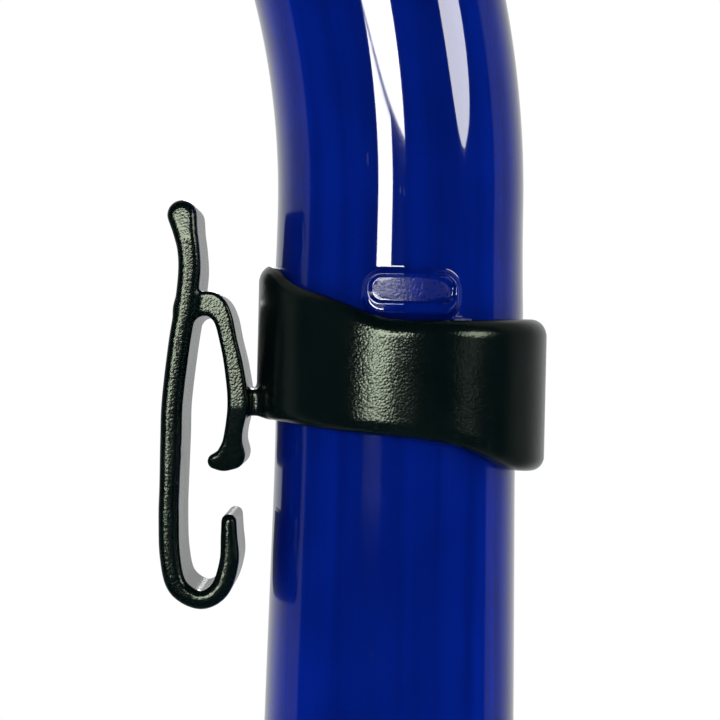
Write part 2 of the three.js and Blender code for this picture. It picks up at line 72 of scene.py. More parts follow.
# %% [markdown]
# ## Where the pieces are drawn
# A snorkel bends, so its parts are easiest to draw upright in a place of their own: about the
# barrel, the dry top, the purge chamber and the mouth. A place has an origin, and a direction
# that its own height runs along. Both come from the joints, because a joint's pivot and axis are
# where the real pieces meet. Everything is drawn in millimetres and placed in metres.

# %% Places
MM = 0.001


class Place:
    """Turns millimetres (x, y, height) into the frame: origin + x * side + y * Y + height * up."""

    def __init__(self, origin, up):
        self.origin = np.array(origin, float)
        self.up = np.array(up, float)
        self.side = np.array([self.up[2], 0, -self.up[0]])

    def point(self, x, y, height):
        return self.origin + MM * (x * self.side + y * np.array([0, 1, 0]) + height * self.up)

    def points(self, local):
        return self.origin + MM * local @ np.stack([self.side, [0, 1, 0], self.up])


def pivot(name):
    return np.array(joints[name]["pos_m"], float)


def direction(name):
    return np.array(joints[name]["axis"], float)


VALVE_PIVOT = (13.6, 8.0)
OUTLET_TILT = np.radians(27)
OUTLET_HEIGHT, OUTLET_LENGTH = -16.0, 35.0

barrel_place = Place(pivot("keeper_swivel"), direction("keeper_swivel"))
head_place = Place(pivot("flap_turn"), direction("float_rise"))
head_place.origin = head_place.point(-VALVE_PIVOT[0], 0, -VALVE_PIVOT[1])
mouth_place = Place(pivot("mouthpiece_swivel"), direction("mouthpiece_swivel"))
chamber_place = Place(mouth_place.origin, -direction("membrane_lift"))
chamber_place.origin = chamber_place.point(
    OUTLET_LENGTH * np.cos(OUTLET_TILT), 0, OUTLET_LENGTH * np.sin(OUTLET_TILT) - OUTLET_HEIGHT)
print("barrel axis at", barrel_place.origin, "head at", head_place.origin)

# %% [markdown]
# ## The camera
# The view is level with the keeper, from about 200 mm away, so the near edges of the keeper look
# larger than the far ones. The barrel leans a little in the picture: the camera is rolled, and
# the barrel stays upright in its frame.

# %% Camera
CAMERA_DISTANCE, CAMERA_ASIDE, CAMERA_ROLL = 197.0, -3.7, np.radians(1.3)
VIEW_WIDTH, SENSOR = 72.0, 36.0

camera = bpy.data.objects.new("camera", bpy.data.cameras.new("camera"))
bpy.context.collection.objects.link(camera)
camera.data.sensor_width = SENSOR
camera.data.lens = SENSOR * CAMERA_DISTANCE / VIEW_WIDTH
camera.data.clip_start, camera.data.clip_end = 0.01, 20
camera.location = barrel_place.point(CAMERA_ASIDE, -CAMERA_DISTANCE, 0)
camera.rotation_euler = (np.pi / 2, -CAMERA_ROLL, 0)
bpy.context.scene.camera = camera

# %% [markdown]
# ## Two ways to make a surface
# Round pieces are turned: an outline of radius against height is carried round the axis, as on a
# lathe. The other pieces are mouldings, whose walls, ribs and fillets run into each other. Those
# are easiest to say as a distance: a formula gives how far a point is outside the plastic, and is
# negative inside it. Joining, cutting and rounding are then small sums on distances, and the
# surface is where the distance is zero.

# %% Meshes from arrays
def mesh_object(name, vertices, *faces):
    """One smooth object from whole arrays: points in metres, and faces by number of corners."""
    mesh = bpy.data.meshes.new(name)
    mesh.vertices.add(len(vertices))
    mesh.vertices.foreach_set("co", np.ascontiguousarray(vertices, np.float32).ravel())
    corners = np.concatenate([group.ravel() for group in faces]).astype(np.int32)
    sizes = np.concatenate([np.full(len(group), group.shape[1]) for group in faces])
    mesh.loops.add(len(corners))
    mesh.loops.foreach_set("vertex_index", corners)
    mesh.polygons.add(len(sizes))
    mesh.polygons.foreach_set("loop_start", (np.cumsum(sizes) - sizes).astype(np.int32))
    mesh.polygons.foreach_set("use_smooth", np.ones(len(sizes), bool))
    mesh.update(calc_edges=True)
    mesh.validate()
    made = bpy.data.objects.new(name, mesh)
    bpy.context.collection.objects.link(made)
    return made


def remember(piece, local):
    """Keep where each point was drawn, in mm, so that a finish can follow a bent piece."""
    drawn = piece.data.attributes.new("drawn", "FLOAT_VECTOR", "POINT")
    drawn.data.foreach_set("vector", np.ascontiguousarray(local, np.float32).ravel())


# %% Turned pieces
FULL_TURN = np.linspace(0, 2 * np.pi, 128, endpoint=False)


def rounded(corners, fillets, arc=6):
    """A closed outline through corners, each cut back and joined by a curve.

    A corner P with fillet f becomes (1-t)^2 A + 2 t (1-t) P + t^2 B, where A and B lie f away
    from P on its two sides."""
    corners = np.array(corners, float)
    before = np.roll(corners, 1, 0) - corners
    after = np.roll(corners, -1, 0) - corners
    reach = np.broadcast_to(np.asarray(fillets, float), len(corners))
    reach = np.minimum(reach, 0.49 * np.minimum(
        np.linalg.norm(before, axis=1), np.linalg.norm(after, axis=1)))[:, None]
    a = corners + before / np.linalg.norm(before, axis=1)[:, None] * reach
    b = corners + after / np.linalg.norm(after, axis=1)[:, None] * reach
    t = np.linspace(0, 1, arc)[None, :, None]
    curve = (1 - t) ** 2 * a[:, None] + 2 * t * (1 - t) * corners[:, None] + t ** 2 * b[:, None]
    return curve.reshape(-1, 2)


def turned(name, place, outline, angle=FULL_TURN, bend=None, relief=None):
    """A closed outline of (radius, height) carried round the axis: x = r cos a, y = r sin a.

    The outline runs up the outside and down the inside. If it starts and ends on the axis, its
    two ends become single points there. A relief is added to the radius, by angle and height."""
    solid = outline[0, 0] == 0
    r, h = outline[:, :1], outline[:, 1:]
    if relief:
        r = r + relief(angle, h, r)
    local = np.stack([r * np.cos(angle), r * np.sin(angle), h + 0 * angle], -1)
    rows, columns = local.shape[:2]
    i, j = np.meshgrid(np.arange(rows - solid), np.arange(columns), indexing="ij")
    i2, j2 = (i + 1) % rows, (j + 1) % columns
    quads = np.stack([i * columns + j, i * columns + j2, i2 * columns + j2, i2 * columns + j], -1)
    local = local.reshape(-1, 3)
    faces = [quads.reshape(-1, 4)]
    if solid:
        last = (rows - 1) * columns
        faces = [quads[1:-1].reshape(-1, 4), quads[0, :, [0, 2, 3]].T, quads[-1, :, [0, 1, 3]].T]
        faces[1][:, 0] = 0
        faces[2][:, 2] = last
        keep = np.r_[0, columns:last + 1]
        renumber = np.zeros(len(local), int)
        renumber[keep] = np.arange(len(keep))
        local, faces = local[keep], [renumber[group] for group in faces]
    bent = bend(local) if bend else local
    made = mesh_object(name, place.points(bent), *faces)
    remember(made, local)
    return made


def ring_outline(inner, outer, low, high, fillet):
    return rounded([(inner, low), (outer, low), (outer, high), (inner, high)], fillet)


def with_rows(outline, radius, heights):
    """Adds points up the straight outside of an outline, for a relief to show on."""
    return np.vstack([outline[:12], np.stack([0 * heights + radius, heights], 1), outline[12:]])


def axis_outline(corners, fillets):
    """A rounded outline whose first and last corners stay on the axis."""
    rest = rounded(corners, np.r_[0, np.broadcast_to(fillets, len(corners) - 2), 0])
    return rest[5:len(rest) - 5]


# %% [markdown]
# Distances can be joined with a fillet or cut with a rounded edge. With two distances a and b and
# a radius r, the rounded meeting is a circle of radius r about the point r inside both faces.

# %% Sums on distances
def meet(a, b, r=0.3):
    """Inside both a and b, with the edge between them rounded to radius r."""
    return np.minimum(-r, np.maximum(a, b)) + np.hypot(np.maximum(r + a, 0), np.maximum(r + b, 0))


def join(a, b, r=0.3):
    """Inside a or b, with a fillet of radius r where they run into each other."""
    return -meet(-a, -b, r)


def cut(a, b, r=0.3):
    """Inside a and outside b."""
    return meet(a, -b, r)


def between(v, low, high):
    return np.abs(v - (low + high) / 2) - (high - low) / 2


def ease(t):
    """0 below t = 0, 1 above t = 1, and 3 t^2 - 2 t^3 between them."""
    t = np.clip(t, 0, 1)
    return t * t * (3 - 2 * t)


def moulded(name, place, distance, low, high, cell):
    """The closed surface distance = 0 inside a box, as a net with one point in each grid cell
    that the surface passes through.

    The point is the mean of where the surface crosses the cell's edges, then slides along the
    slope of the distance until the distance is zero."""
    axes = [np.arange(a - 2 * cell, b + 3 * cell, cell) for a, b in zip(low, high)]
    grid = np.meshgrid(*axes, indexing="ij", sparse=True)
    field = np.broadcast_to(distance(*grid), [len(a) for a in axes])
    ids, crossings, rings = [], [], []
    for axis in range(3):
        b, c = (axis + 1) % 3, (axis + 2) % 3
        f0 = np.take(field, range(field.shape[axis] - 1), axis)
        f1 = np.take(field, range(1, field.shape[axis]), axis)
        start = np.argwhere((f0 < 0) != (f1 < 0))
        v0, v1 = f0[tuple(start.T)], f1[tuple(start.T)]
        crossing = start.astype(float)
        crossing[:, axis] += v0 / (v0 - v1)
        around = np.repeat(start[:, None], 4, 1)
        around[:, :, b] += np.array([-1, 0, 0, -1])
        around[:, :, c] += np.array([-1, -1, 0, 0])
        ring = np.ravel_multi_index(tuple(np.moveaxis(around, -1, 0)), field.shape)
        ring[v0 >= 0] = ring[v0 >= 0, ::-1]
        ids.append(ring.ravel())
        crossings.append(np.repeat(crossing, 4, 0))
        rings.append(ring)
    cells, where = np.unique(np.concatenate(ids), return_inverse=True)
    crossings = np.concatenate(crossings)
    count = np.bincount(where)
    local = np.stack([np.bincount(where, crossings[:, k]) / count for k in range(3)], 1)
    local = local * cell + np.array([a[0] for a in axes])
    step = cell / 8
    for _ in range(3):
        f = distance(*local.T)
        slope = np.stack([distance(*(local + step * e).T) - distance(*(local - step * e).T)
                          for e in np.eye(3)], 1) / (2 * step)
        move = f / np.maximum((slope ** 2).sum(1), 0.2)
        local -= np.clip(move[:, None] * slope, -cell / 2, cell / 2)
    made = mesh_object(name, place.points(local), np.searchsorted(cells, np.concatenate(rings)))
    print(name, len(local), "points")
    return made


# %% [markdown]
# ## Finishes
# A finish is a Principled shader with small things on it that the eye reads as a material: spark
# grain in a mould, flow lines in a drawn tube, a matt bloom on silicone. These are patterns in
# space, in millimetres, so they have the same scale on every piece. The arithmetic is written as
# plain expressions, and each expression adds its own node.

# %% Shader arithmetic
class Wire:
    """A socket that can be used in sums. Each sum adds one Math node."""

    def __init__(self, finish, socket):
        self.finish, self.socket = finish, socket

    def math(self, operation, *values):
        return self.finish.node("Math", {"operation": operation}, *values)

    def __add__(self, other):
        return self.math("ADD", self, other)

    def __sub__(self, other):
        return self.math("SUBTRACT", self, other)

    def __rsub__(self, other):
        return self.math("SUBTRACT", other, self)

    def __mul__(self, other):
        return self.math("MULTIPLY", self, other)

    __radd__, __rmul__ = __add__, __mul__


def feed(tree, socket, value):
    """Links a socket to a wire or to another socket, or sets it to a plain value."""
    value = value.socket if isinstance(value, Wire) else value
    if isinstance(value, bpy.types.NodeSocket):
        tree.links.new(value, socket)
    else:
        socket.default_value = value


def add_node(tree, kind, settings, *values, **named):
    """Adds a node: its settings first, then its sockets in order or by name."""
    made = tree.nodes.new("ShaderNode" + kind)
    for name, value in settings.items():
        setattr(made, name, value)
    for socket, value in [*zip(made.inputs, values),
                          *((made.inputs[name], value) for name, value in named.items())]:
        feed(tree, socket, value)
    return made.outputs


class Finish:
    """A material built up from nodes. Lengths inside it are in millimetres."""

    def __init__(self, name, color, roughness, **settings):
        self.slot = name
        self.material = bpy.data.materials.new(name + "_finish")
        self.material.use_nodes = True
        self.tree = self.material.node_tree
        self.shader = self.tree.nodes["Principled BSDF"]
        self.material.diffuse_color = (*color, 1)
        self.set(**{"Base Color": (*color, 1), "Roughness": roughness}, **settings)
        where = self.node("TexCoord", {}, output="Object")
        self.where = self.node("VectorMath", {"operation": "SCALE"}, where, Scale=1 / MM)

    def node(self, kind, settings, *values, output=0, **named):
        return Wire(self, add_node(self.tree, kind, settings, *values, **named)[output])

    def set(self, **sockets):
        for name, value in sockets.items():
            feed(self.tree, self.shader.inputs[name], value)

    def follow(self):
        """Patterns follow the piece as it was drawn, not the space it lies in."""
        self.where = self.node("Attribute", {"attribute_name": "drawn"}, output="Vector")

    def stretched(self, x, y, z):
        return self.node("VectorMath", {"operation": "MULTIPLY"}, self.where, (x, y, z))

    def noise(self, size, detail=2.0, where=None):
        """Smooth noise around 0.5, with features about size mm across."""
        return self.node("TexNoise", {}, Vector=where or self.where, Scale=1 / size, Detail=detail)

    def grains(self, size):
        """Distance from the middle of the nearest grain, of about size mm."""
        return self.node("TexVoronoi", {"feature": "F1"}, Vector=self.where, Scale=1 / size,
                         output="Distance")

    def span(self, value, low, high, to_low, to_high):
        """Maps low..high to to_low..to_high with soft ends."""
        return self.node("MapRange", {"interpolation_type": "SMOOTHSTEP"},
                         value, low, high, to_low, to_high)

    def blend(self, amount, first, second):
        """From the first colour to the second. A Mix node's sockets 6, 7 and 2 are its colours."""
        mix = self.tree.nodes.new("ShaderNodeMix")
        mix.data_type = "RGBA"
        for socket, value in ((0, amount), (6, (*first, 1)), (7, (*second, 1))):
            feed(self.tree, mix.inputs[socket], value)
        return Wire(self, mix.outputs[2])

    def bump(self, height, depth, under=None):
        """Raises the surface by height times depth mm, on top of another bump."""
        named = {"Normal": under} if under else {}
        return self.node("Bump", {}, Strength=1.0, Distance=depth * MM, Height=height, **named)


# %% [markdown]
# ### Barrel blue
# The barrel is drawn from blue plastic and left as it comes from the tool: very smooth and
# glossy, with faint flow lines along its length and a few hairline scuffs. The dye is deep, so
# the colour varies only a little. The lines follow the bend, because they are read from the
# place that each point had before the barrel was bent. The floor of the lug's recess is satin: it
# was etched in the tool, so it is rougher and finely bumpy inside an oval round its middle.

# %% Barrel blue
BARREL_BLUE = (0.0006, 0.0100, 0.18)
barrel_blue = Finish("barrel_blue", BARREL_BLUE, 0.12, **{
    "IOR": 1.5, "Coat Roughness": 0.02, "Coat IOR": 1.5, "Coat Weight": 1.0})
barrel_blue.follow()
flow = barrel_blue.noise(1.6, 3.0, barrel_blue.stretched(1, 1, 0.02))
cloud = barrel_blue.noise(9.0, 2.0)
deeper = tuple(0.72 * c for c in BARREL_BLUE)
barrel_blue.set(**{"Base Color": barrel_blue.blend(
    barrel_blue.span(0.65 * flow + 0.35 * cloud, 0.36, 0.64, 0, 1), deeper, BARREL_BLUE)})
scuffs = barrel_blue.noise(0.35, 1.0, barrel_blue.stretched(1, 1, 0.12))
scuffed = barrel_blue.span(scuffs, 0.68, 0.78, 0, 1) * barrel_blue.span(cloud, 0.5, 0.62, 0, 1)
RECESS_MIDDLE, SATIN_STRETCH = (1.07, -12.2, 6.75), (0.27, 0.5, 0.8)
from_recess = barrel_blue.node(
    "VectorMath", {"operation": "DISTANCE"}, barrel_blue.stretched(*SATIN_STRETCH),
    tuple(s * m for s, m in zip(SATIN_STRETCH, RECESS_MIDDLE)), output="Value")
satin = barrel_blue.span(from_recess, 0.85, 1.1, 1, 0)
etching = barrel_blue.noise(0.3, 3.0)
barrel_blue.set(Roughness=0.035 + 0.02 * flow + 0.12 * scuffed
                + satin * (0.12 + 0.28 * etching))
wave = barrel_blue.bump(barrel_blue.noise(5.0, 1.0, barrel_blue.stretched(1, 1, 0.15)), 0.02)
etched = barrel_blue.bump(satin * etching, 0.045, wave)
barrel_blue.set(Normal=barrel_blue.bump(flow, 0.0035, etched))

# %% [markdown]
# ### Moulded black and blue
# The keeper's mould was spark eroded, which leaves a fine even grain of about a quarter of a
# millimetre. The grain breaks up a highlight into specks, and the keeper's gloss is tinted a
# little green. The dry top and the purge chamber have the same kind of grain, a little coarser,
# and their trim is blue and smoother.

# %% Moulded finishes
def moulded_finish(name, color, roughness, grain, depth, mottle=0.25, **settings):
    """Plastic from a textured mould, with grains of the given size and depth in mm."""
    finish = Finish(name, color, roughness, **settings)
    grains = finish.grains(grain)
    fine = finish.noise(grain * 0.45, 1.0)
    patches = finish.noise(7.0, 2.0)
    pale = tuple(min(1, c * (1 + 2.2 * mottle) + 0.004 * mottle) for c in color)
    finish.set(**{"Base Color": finish.blend(
        finish.span(0.6 * fine + 0.4 * patches, 0.38, 0.66, 0, 1), color, pale)})
    finish.set(Roughness=roughness + 0.12 * (patches - 0.5) + 0.10 * (fine - 0.5))
    swell = finish.bump(finish.noise(3.0, 1.0), 0.015)
    finish.set(Normal=finish.bump(0.7 * (1 - grains) + 0.3 * fine, depth, swell))
    return finish


keeper_black = moulded_finish("keeper_black", (0.0008, 0.0030, 0.0030), 0.15, 0.25, 0.020,
                              mottle=0.3, **{"Specular Tint": (0.88, 1.0, 0.76, 1)})
housing_black = moulded_finish("housing_black", (0.007, 0.008, 0.009), 0.42, 0.34, 0.02)
trim_blue = moulded_finish("trim_blue", (0.004, 0.018, 0.20), 0.30, 0.4, 0.008)

# %% [markdown]
# ### Silicone, foam, steel and the safety band
# Silicone is matt and picks up a faint bloom of dust. The membrane is clear silicone, so light
# gets into it. The float is closed-cell foam with small pits, and painted shade darkens the pits'
# floors. The pin is ground steel with lines round it. The safety band is fluorescent, which is
# painted in as a faint glow of its own that no lamp gives.

# %% The other finishes
silicone_black = moulded_finish("silicone_black", (0.013, 0.0135, 0.0145), 0.56, 0.5, 0.006,
                                **{"Sheen Weight": 0.12, "Sheen Roughness": 0.5})
bloom = silicone_black.noise(2.5, 4.0)
silicone_black.set(**{"Base Color": silicone_black.blend(
    silicone_black.span(bloom, 0.45, 0.75, 0, 1), (0.012, 0.0125, 0.0135), (0.026, 0.027, 0.029))})

silicone_clear = Finish("silicone_clear", (0.70, 0.74, 0.76), 0.3, **{
    "Subsurface Weight": 0.35, "Subsurface Scale": 0.002, "IOR": 1.41})
haze = silicone_clear.noise(1.4, 3.0)
silicone_clear.set(Roughness=0.22 + 0.2 * haze, Normal=silicone_clear.bump(haze, 0.006))

float_foam = Finish("float_foam", (0.78, 0.74, 0.62), 0.8)
cells = float_foam.grains(0.7)
pit_height_and_shade = float_foam.span(cells, 0.05, 0.4, 0, 1)
# painted shade: the low floors of the pits are coloured darker, as if shaded, while the same mask
# also raises the rims by bump and sets the roughness
float_foam.set(**{"Base Color": float_foam.blend(pit_height_and_shade, (0.52, 0.48, 0.38), (0.80, 0.76, 0.65))},
               Normal=float_foam.bump(pit_height_and_shade, 0.06), Roughness=0.72 + 0.18 * pit_height_and_shade)

pin_steel = Finish("pin_steel", (0.62, 0.63, 0.64), 0.28, Metallic=1.0)
lines = pin_steel.noise(0.12, 2.0, pin_steel.stretched(0.05, 1, 0.05))
pin_steel.set(Roughness=0.18 + 0.25 * lines, Normal=pin_steel.bump(lines, 0.002))

# painted glow: a faint orange emission makes the band shine though no lamp lights it, standing in
# for its fluorescence
safety_orange = Finish("safety_orange", (0.84, 0.09, 0.008), 0.38, **{
    "Emission Color": (1.0, 0.12, 0.01, 1), "Emission Strength": 0.06})
weave = safety_orange.noise(0.6, 2.0)
safety_orange.set(Roughness=0.3 + 0.2 * weave, Normal=safety_orange.bump(weave, 0.01),
                  **{"Base Color": safety_orange.blend(
                      safety_orange.span(safety_orange.noise(6.0), 0.4, 0.65, 0, 1),
                      (0.80, 0.075, 0.006), (0.88, 0.11, 0.010))})
print("finishes:", ", ".join(m.name for m in bpy.data.materials if m.name.endswith("_finish")))


# %% [markdown]
# A new piece stands for a node of the frame: it hides that node, moves with the same body, and
# takes its finish. The hose rides on no body, and runs between two of them.

# %% Standing in for a node
BODY_OF = {node: body for body, nodes in frame["record"]["behaviour"]["bodies"].items()
           for node in nodes}


def stand_in(piece, node, finish):
    """Puts a piece in a node's place, with its finish, and lets it move with the node's body."""
    piece.data.materials.append(finish.material)
    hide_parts(node)
    if node != "flex_hose":
        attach(piece, BODY_OF[node])


# %% [markdown]
# ## The keeper
# The black keeper is one moulding: a collar with a wavy top and bottom edge that turns on the
# barrel, and a hook that the mask strap is pushed into past a barb. The hook is a strip of plastic
# that follows a path, 12 mm deep. Its distance is the distance to the path, less half the strip's
# thickness there. The path is a smooth curve through a few points.

# %% The keeper's paths
COLLAR_RADIUS, COLLAR_OFFSET, COLLAR_BORE = 14.4, 0.45, 12.25
HOOK_DEPTH = 12.0
HOOK_SPINE = np.array([
    (-21.35, 13.75, 1.45), (-21.0, 12.2, 1.22), (-20.63, 10.4, 1.1), (-20.5, 8.2, 1.1),
    (-20.8, 5, 1.06), (-21.35, 1, 1.06), (-21.87, -4.4, 1.04), (-21.92, -8, 1.05),
    (-21.95, -12.6, 1.0), (-21.97, -15.6, 1.0), (-21.75, -19.6, 1.0), (-20.95, -22.45, 0.98),
    (-18.75, -23.7, 0.9), (-16.85, -22.65, 0.95), (-16.0, -20, 0.95), (-16.05, -17.5, 0.82),
    (-16.1, -16.0, 0.74)])
HOOK_ARM = np.array([
    (-20.7, 4.6, 1.2), (-19.3, 5.1, 1.2), (-18.1, 5.0, 1.2), (-17.15, 3.8, 0.95),
    (-16.55, 1.6, 0.86), (-15.95, -1, 0.93), (-15.5, -4.4, 1.0), (-15.85, -7.2, 0.88),
    (-16.05, -9.3, 1.1)])
HOOK_BARB = np.array([(-16.0, -9.75, 1.2), (-16.8, -10.15, 1.0), (-17.6, -10.2, 0.76)])


def smooth_path(points, steps=8):
    """A curve through every point, whose slope at each is half the step between its neighbours."""
    p = np.vstack([2 * points[0] - points[1], points, 2 * points[-1] - points[-2]])
    t = np.linspace(0, 1, steps, endpoint=False)[None, :, None]
    a, b, c, d = (p[i:len(p) - 3 + i, None] for i in range(4))
    curve = 0.5 * (2 * b + (c - a) * t + (2 * a - 5 * b + 4 * c - d) * t ** 2
                   + (3 * b - a - 3 * c + d) * t ** 3)
    return np.vstack([curve.reshape(-1, points.shape[1]), points[-1:]])


def strip(x, z, points):
    """Distance from a strip that follows (x, z, half thickness) points, with round ends."""
    path = smooth_path(points)
    nearest = np.full(np.broadcast(x, z).shape, 1e3)
    for (x0, z0, w0), (x1, z1, w1) in zip(path[:-1], path[1:]):
        dx, dz = x1 - x0, z1 - z0
        t = np.clip(((x - x0) * dx + (z - z0) * dz) / (dx * dx + dz * dz), 0, 1)
        gap = np.hypot(x - x0 - t * dx, z - z0 - t * dz) - (w0 + t * (w1 - w0))
        nearest = np.minimum(nearest, gap)
    return nearest


# %% [markdown]
# The collar's rims are wavy: they follow the barrel from the tall side at the hook to the low side
# opposite. A rim's height depends on where it is round the barrel, so it is read at the place on
# the collar's outside in the same direction from the axis, and the rim's face stays square to the
# wall. Both rims have a large soft edge outside and a small one inside. A short neck, narrower
# than the hook, joins the hook's arm to the collar. The flat faces of the arm, the barb and the
# hook's tip lean in a little, as a moulding's do.

# %% The keeper's distance
ARM_SLOPE, ARM_ROOT = 0.066, -14.0  # the arm's two flat faces taper a little towards the hook
END_SLOPE, TIP_START, FOOT_START = 0.13, 11.5, -4.9  # and so do the hook's tip and the barb
TOP_EDGE, BOTTOM_EDGE, HOOK_EDGE, ARM_EDGE = 1.5, 1.3, 0.75, 0.4
NECK_ALONG, NECK_HEIGHT, NECK_HALF = (-15.6, -12.6), (-5.7, -3.1), 4.4
SHOULDER_ROOM, SHOULDER_START = 0.55, 3.3  # the bore widens there, over the barrel's low shoulder
COLLAR_TOP = smooth_path(np.array([
    (-16, 9.2), (-14.4, 9.25), (-13.5, 8.9), (-12.6, 8.25), (-11.9, 7.65), (-10.6, 6.95),
    (-8.2, 6.2), (-5.8, 5.4), (-3.9, 4.75), (-2.5, 4.3), (-1, 4.05), (1, 3.98), (6, 4.02),
    (11, 4.2), (16, 4.5)]))
COLLAR_BOTTOM = smooth_path(np.array([
    (-16, -5.85), (-11.8, -6.2), (-6, -6.75), (0, -7.15), (4, -7.55), (7.2, -8.3), (10, -9.4),
    (12.5, -10.3), (16, -10.7)]))


def edge_height(x, path):
    """Height of an (x, height) path at x."""
    return np.interp(x, path[:, 0], path[:, 1])


def keeper_distance(x, y, z):
    outer = np.hypot(x - COLLAR_OFFSET, y) - COLLAR_RADIUS
    on_outside = x * COLLAR_RADIUS / np.maximum(np.hypot(x, y), 1)
    collar = meet(meet(outer, 0.85 * (z - edge_height(on_outside, COLLAR_TOP)), TOP_EDGE),
                  0.95 * (edge_height(on_outside, COLLAR_BOTTOM) - z), BOTTOM_EDGE)
    sides = np.abs(y) - HOOK_DEPTH / 2
    tip = sides + END_SLOPE * np.maximum(z - TIP_START, 0)
    spine = meet(strip(x, z, HOOK_SPINE), tip, HOOK_EDGE)
    barb = join(strip(x, z, HOOK_ARM), strip(x, z, HOOK_BARB), 0.7)
    tapered = sides + ARM_SLOPE * (ARM_ROOT - x) + END_SLOPE * np.maximum(FOOT_START - z, 0)
    neck = meet(np.maximum(between(x, *NECK_ALONG), between(z, *NECK_HEIGHT)),
                np.abs(y) - NECK_HALF, 0.5)
    hook = join(join(spine, meet(barb, tapered, ARM_EDGE), 0.5), neck, 0.5)
    bore = np.hypot(x, y) - (COLLAR_BORE + SHOULDER_ROOM * ease((z - SHOULDER_START) / 0.8))
    return cut(join(collar, hook, 0.6), bore, 0.25)


keeper = moulded("keeper", barrel_place, keeper_distance, (-24, -14.6, -25), (15, 14.6, 15), 0.235)
stand_in(keeper, "strap_keeper", keeper_black)

# %% [markdown]
# ## The barrel
# The barrel is a tube that is straight where the keeper grips it and bends over its upper part.
# It is turned straight, wall and all, and each point is then moved along the bend. Above the
# keeper is a raised stop lug with a sunk middle. It is made by adding to the radius there: the
# rows and columns are close together round the lug, so its edges are crisp.

# %% The barrel's way
BARREL_FOOT, BEND_START, BEND_RADIUS = -100.0, 15.0, 90.0
BEND_ANGLE, TOP_STRAIGHT = np.radians(28), 110.0
BEND_END = BEND_START + BEND_RADIUS * BEND_ANGLE
BARREL_TOP = BEND_END + TOP_STRAIGHT
BORE, WAIST, BODY = 10.45, 12.0, 12.25


def bend_from(start, radius, angle, sense=1):
    """Carries a straight piece round a bend towards -x that begins at height start.

    With s the height past the start and a = s / radius inside the bend, a point at x moves to
    (radius + x) (cos a, sin a) - (radius, 0), and past the bend it runs straight on."""
    def bend(local):
        x, y, z = local.T
        past = (z - start) * sense
        a = np.clip(past / radius, 0, angle)
        rest = past - a * radius
        return np.stack([(radius + x) * np.cos(a) - radius - rest * np.sin(a), y,
                         start + sense * ((radius + x) * np.sin(a) + rest * np.cos(a))], 1)
    return bend


barrel_bend = bend_from(BEND_START, BEND_RADIUS, BEND_ANGLE)

# %% The stop lug
LUG_MIDDLE, LUG_TURN = 6.75, np.radians(-85)
LUG_SIZE, LUG_CORNER, LUG_RADIUS, LUG_DROP, LUG_SLOPE = (8.9, 4.1), 1.7, 13.05, 0.42, 0.9
RECESS_SIZE, RECESS_CORNER, RECESS_DEPTH, RECESS_SLOPE = (7.75, 2.5), 1.1, 0.42, 0.28
LUG_STEP = 0.085


def rounded_rectangle(u, v, size, corner):
    """Distance outside a rectangle with round corners, centred on 0."""
    du = np.abs(u) - size[0] / 2 + corner
    dv = np.abs(v) - size[1] / 2 + corner
    beyond = np.hypot(np.maximum(du, 0), np.maximum(dv, 0))
    return beyond + np.minimum(np.maximum(du, dv), 0) - corner


def lug_relief(angle, height, radius):
    """What the lug adds to the barrel's radius: up to its own, less the recess.

    Each wall rises over the width of its slope."""
    u = BODY * ((angle - LUG_TURN + np.pi) % (2 * np.pi) - np.pi)
    v = height - LUG_MIDDLE
    pad = ease(0.5 - rounded_rectangle(u, v + LUG_DROP, LUG_SIZE, LUG_CORNER) / LUG_SLOPE)
    sunk = ease(0.5 - rounded_rectangle(u, v, RECESS_SIZE, RECESS_CORNER) / RECESS_SLOPE)
    return (radius > 11) * (np.maximum(LUG_RADIUS - radius, 0) * pad - RECESS_DEPTH * sunk)


# %% The barrel
LUG_HALF = LUG_SIZE[0] / 2 + 0.8
lug_columns = np.arange(-LUG_HALF, LUG_HALF, LUG_STEP) / BODY
other_columns = np.linspace(lug_columns[-1], 2 * np.pi + lug_columns[0], 100)[1:-1]
barrel_columns = LUG_TURN + np.r_[lug_columns, other_columns]
lug_rows = np.arange(LUG_MIDDLE - 3.0, LUG_MIDDLE + 3.1, LUG_STEP)
outside_knots = smooth_path(np.array([
    (12.5, -60), (12.5, -50), (12.5, -42), (12.38, -33), (12.15, -20), (12.0, -11),
    (12.0, -4), (12.0, 1), (12.02, 3.0), (12.4, 3.9), (12.46, 4.6), (12.43, 5.9),
    (12.36, 8), (12.29, 11), (12.25, 14), (12.25, 18)]))
heights = np.r_[-48:3.4:1.5, lug_rows, LUG_MIDDLE + 3.4:BEND_START:0.8,
                np.linspace(BEND_START, BEND_END, 44), BEND_END + 4:BARREL_TOP - 14:6]
outside = np.stack([np.interp(heights, outside_knots[:, 1], outside_knots[:, 0]), heights], 1)
SPIGOT, SHOULDER = 11.3, -84.0
GROOVE = BARREL_TOP - 8.6
foot = rounded([(BORE, BARREL_FOOT), (SPIGOT, BARREL_FOOT), (SPIGOT, SHOULDER), (12.5, SHOULDER),
                (12.5, -50), (BORE, -50)], (0.4, 0.5, 0.2, 0.4, 0.1, 0.1))[:24]
top = rounded([(BODY, BARREL_TOP - 12), (BODY, GROOVE - 0.8), (10.95, GROOVE - 0.8),
               (10.95, GROOVE + 0.8), (BODY, GROOVE + 0.8), (BODY, BARREL_TOP),
               (9.9, BARREL_TOP), (9.9, BARREL_TOP - 12)], (0.1, 0.2, 0.2, 0.2, 0.2, 0.6, 0.3, 0.1))
inside = np.array([(np.interp(h, [BEND_END, BARREL_TOP - 14], [BORE, 9.9]), h)
                   for h in np.r_[BARREL_TOP - 20:BEND_END:-12,
                                  np.linspace(BEND_END, BEND_START, 20), 10:-98:-12]])
barrel = turned("barrel", barrel_place, np.vstack([foot, outside, top[6:], inside]),
                barrel_columns, barrel_bend, lug_relief)
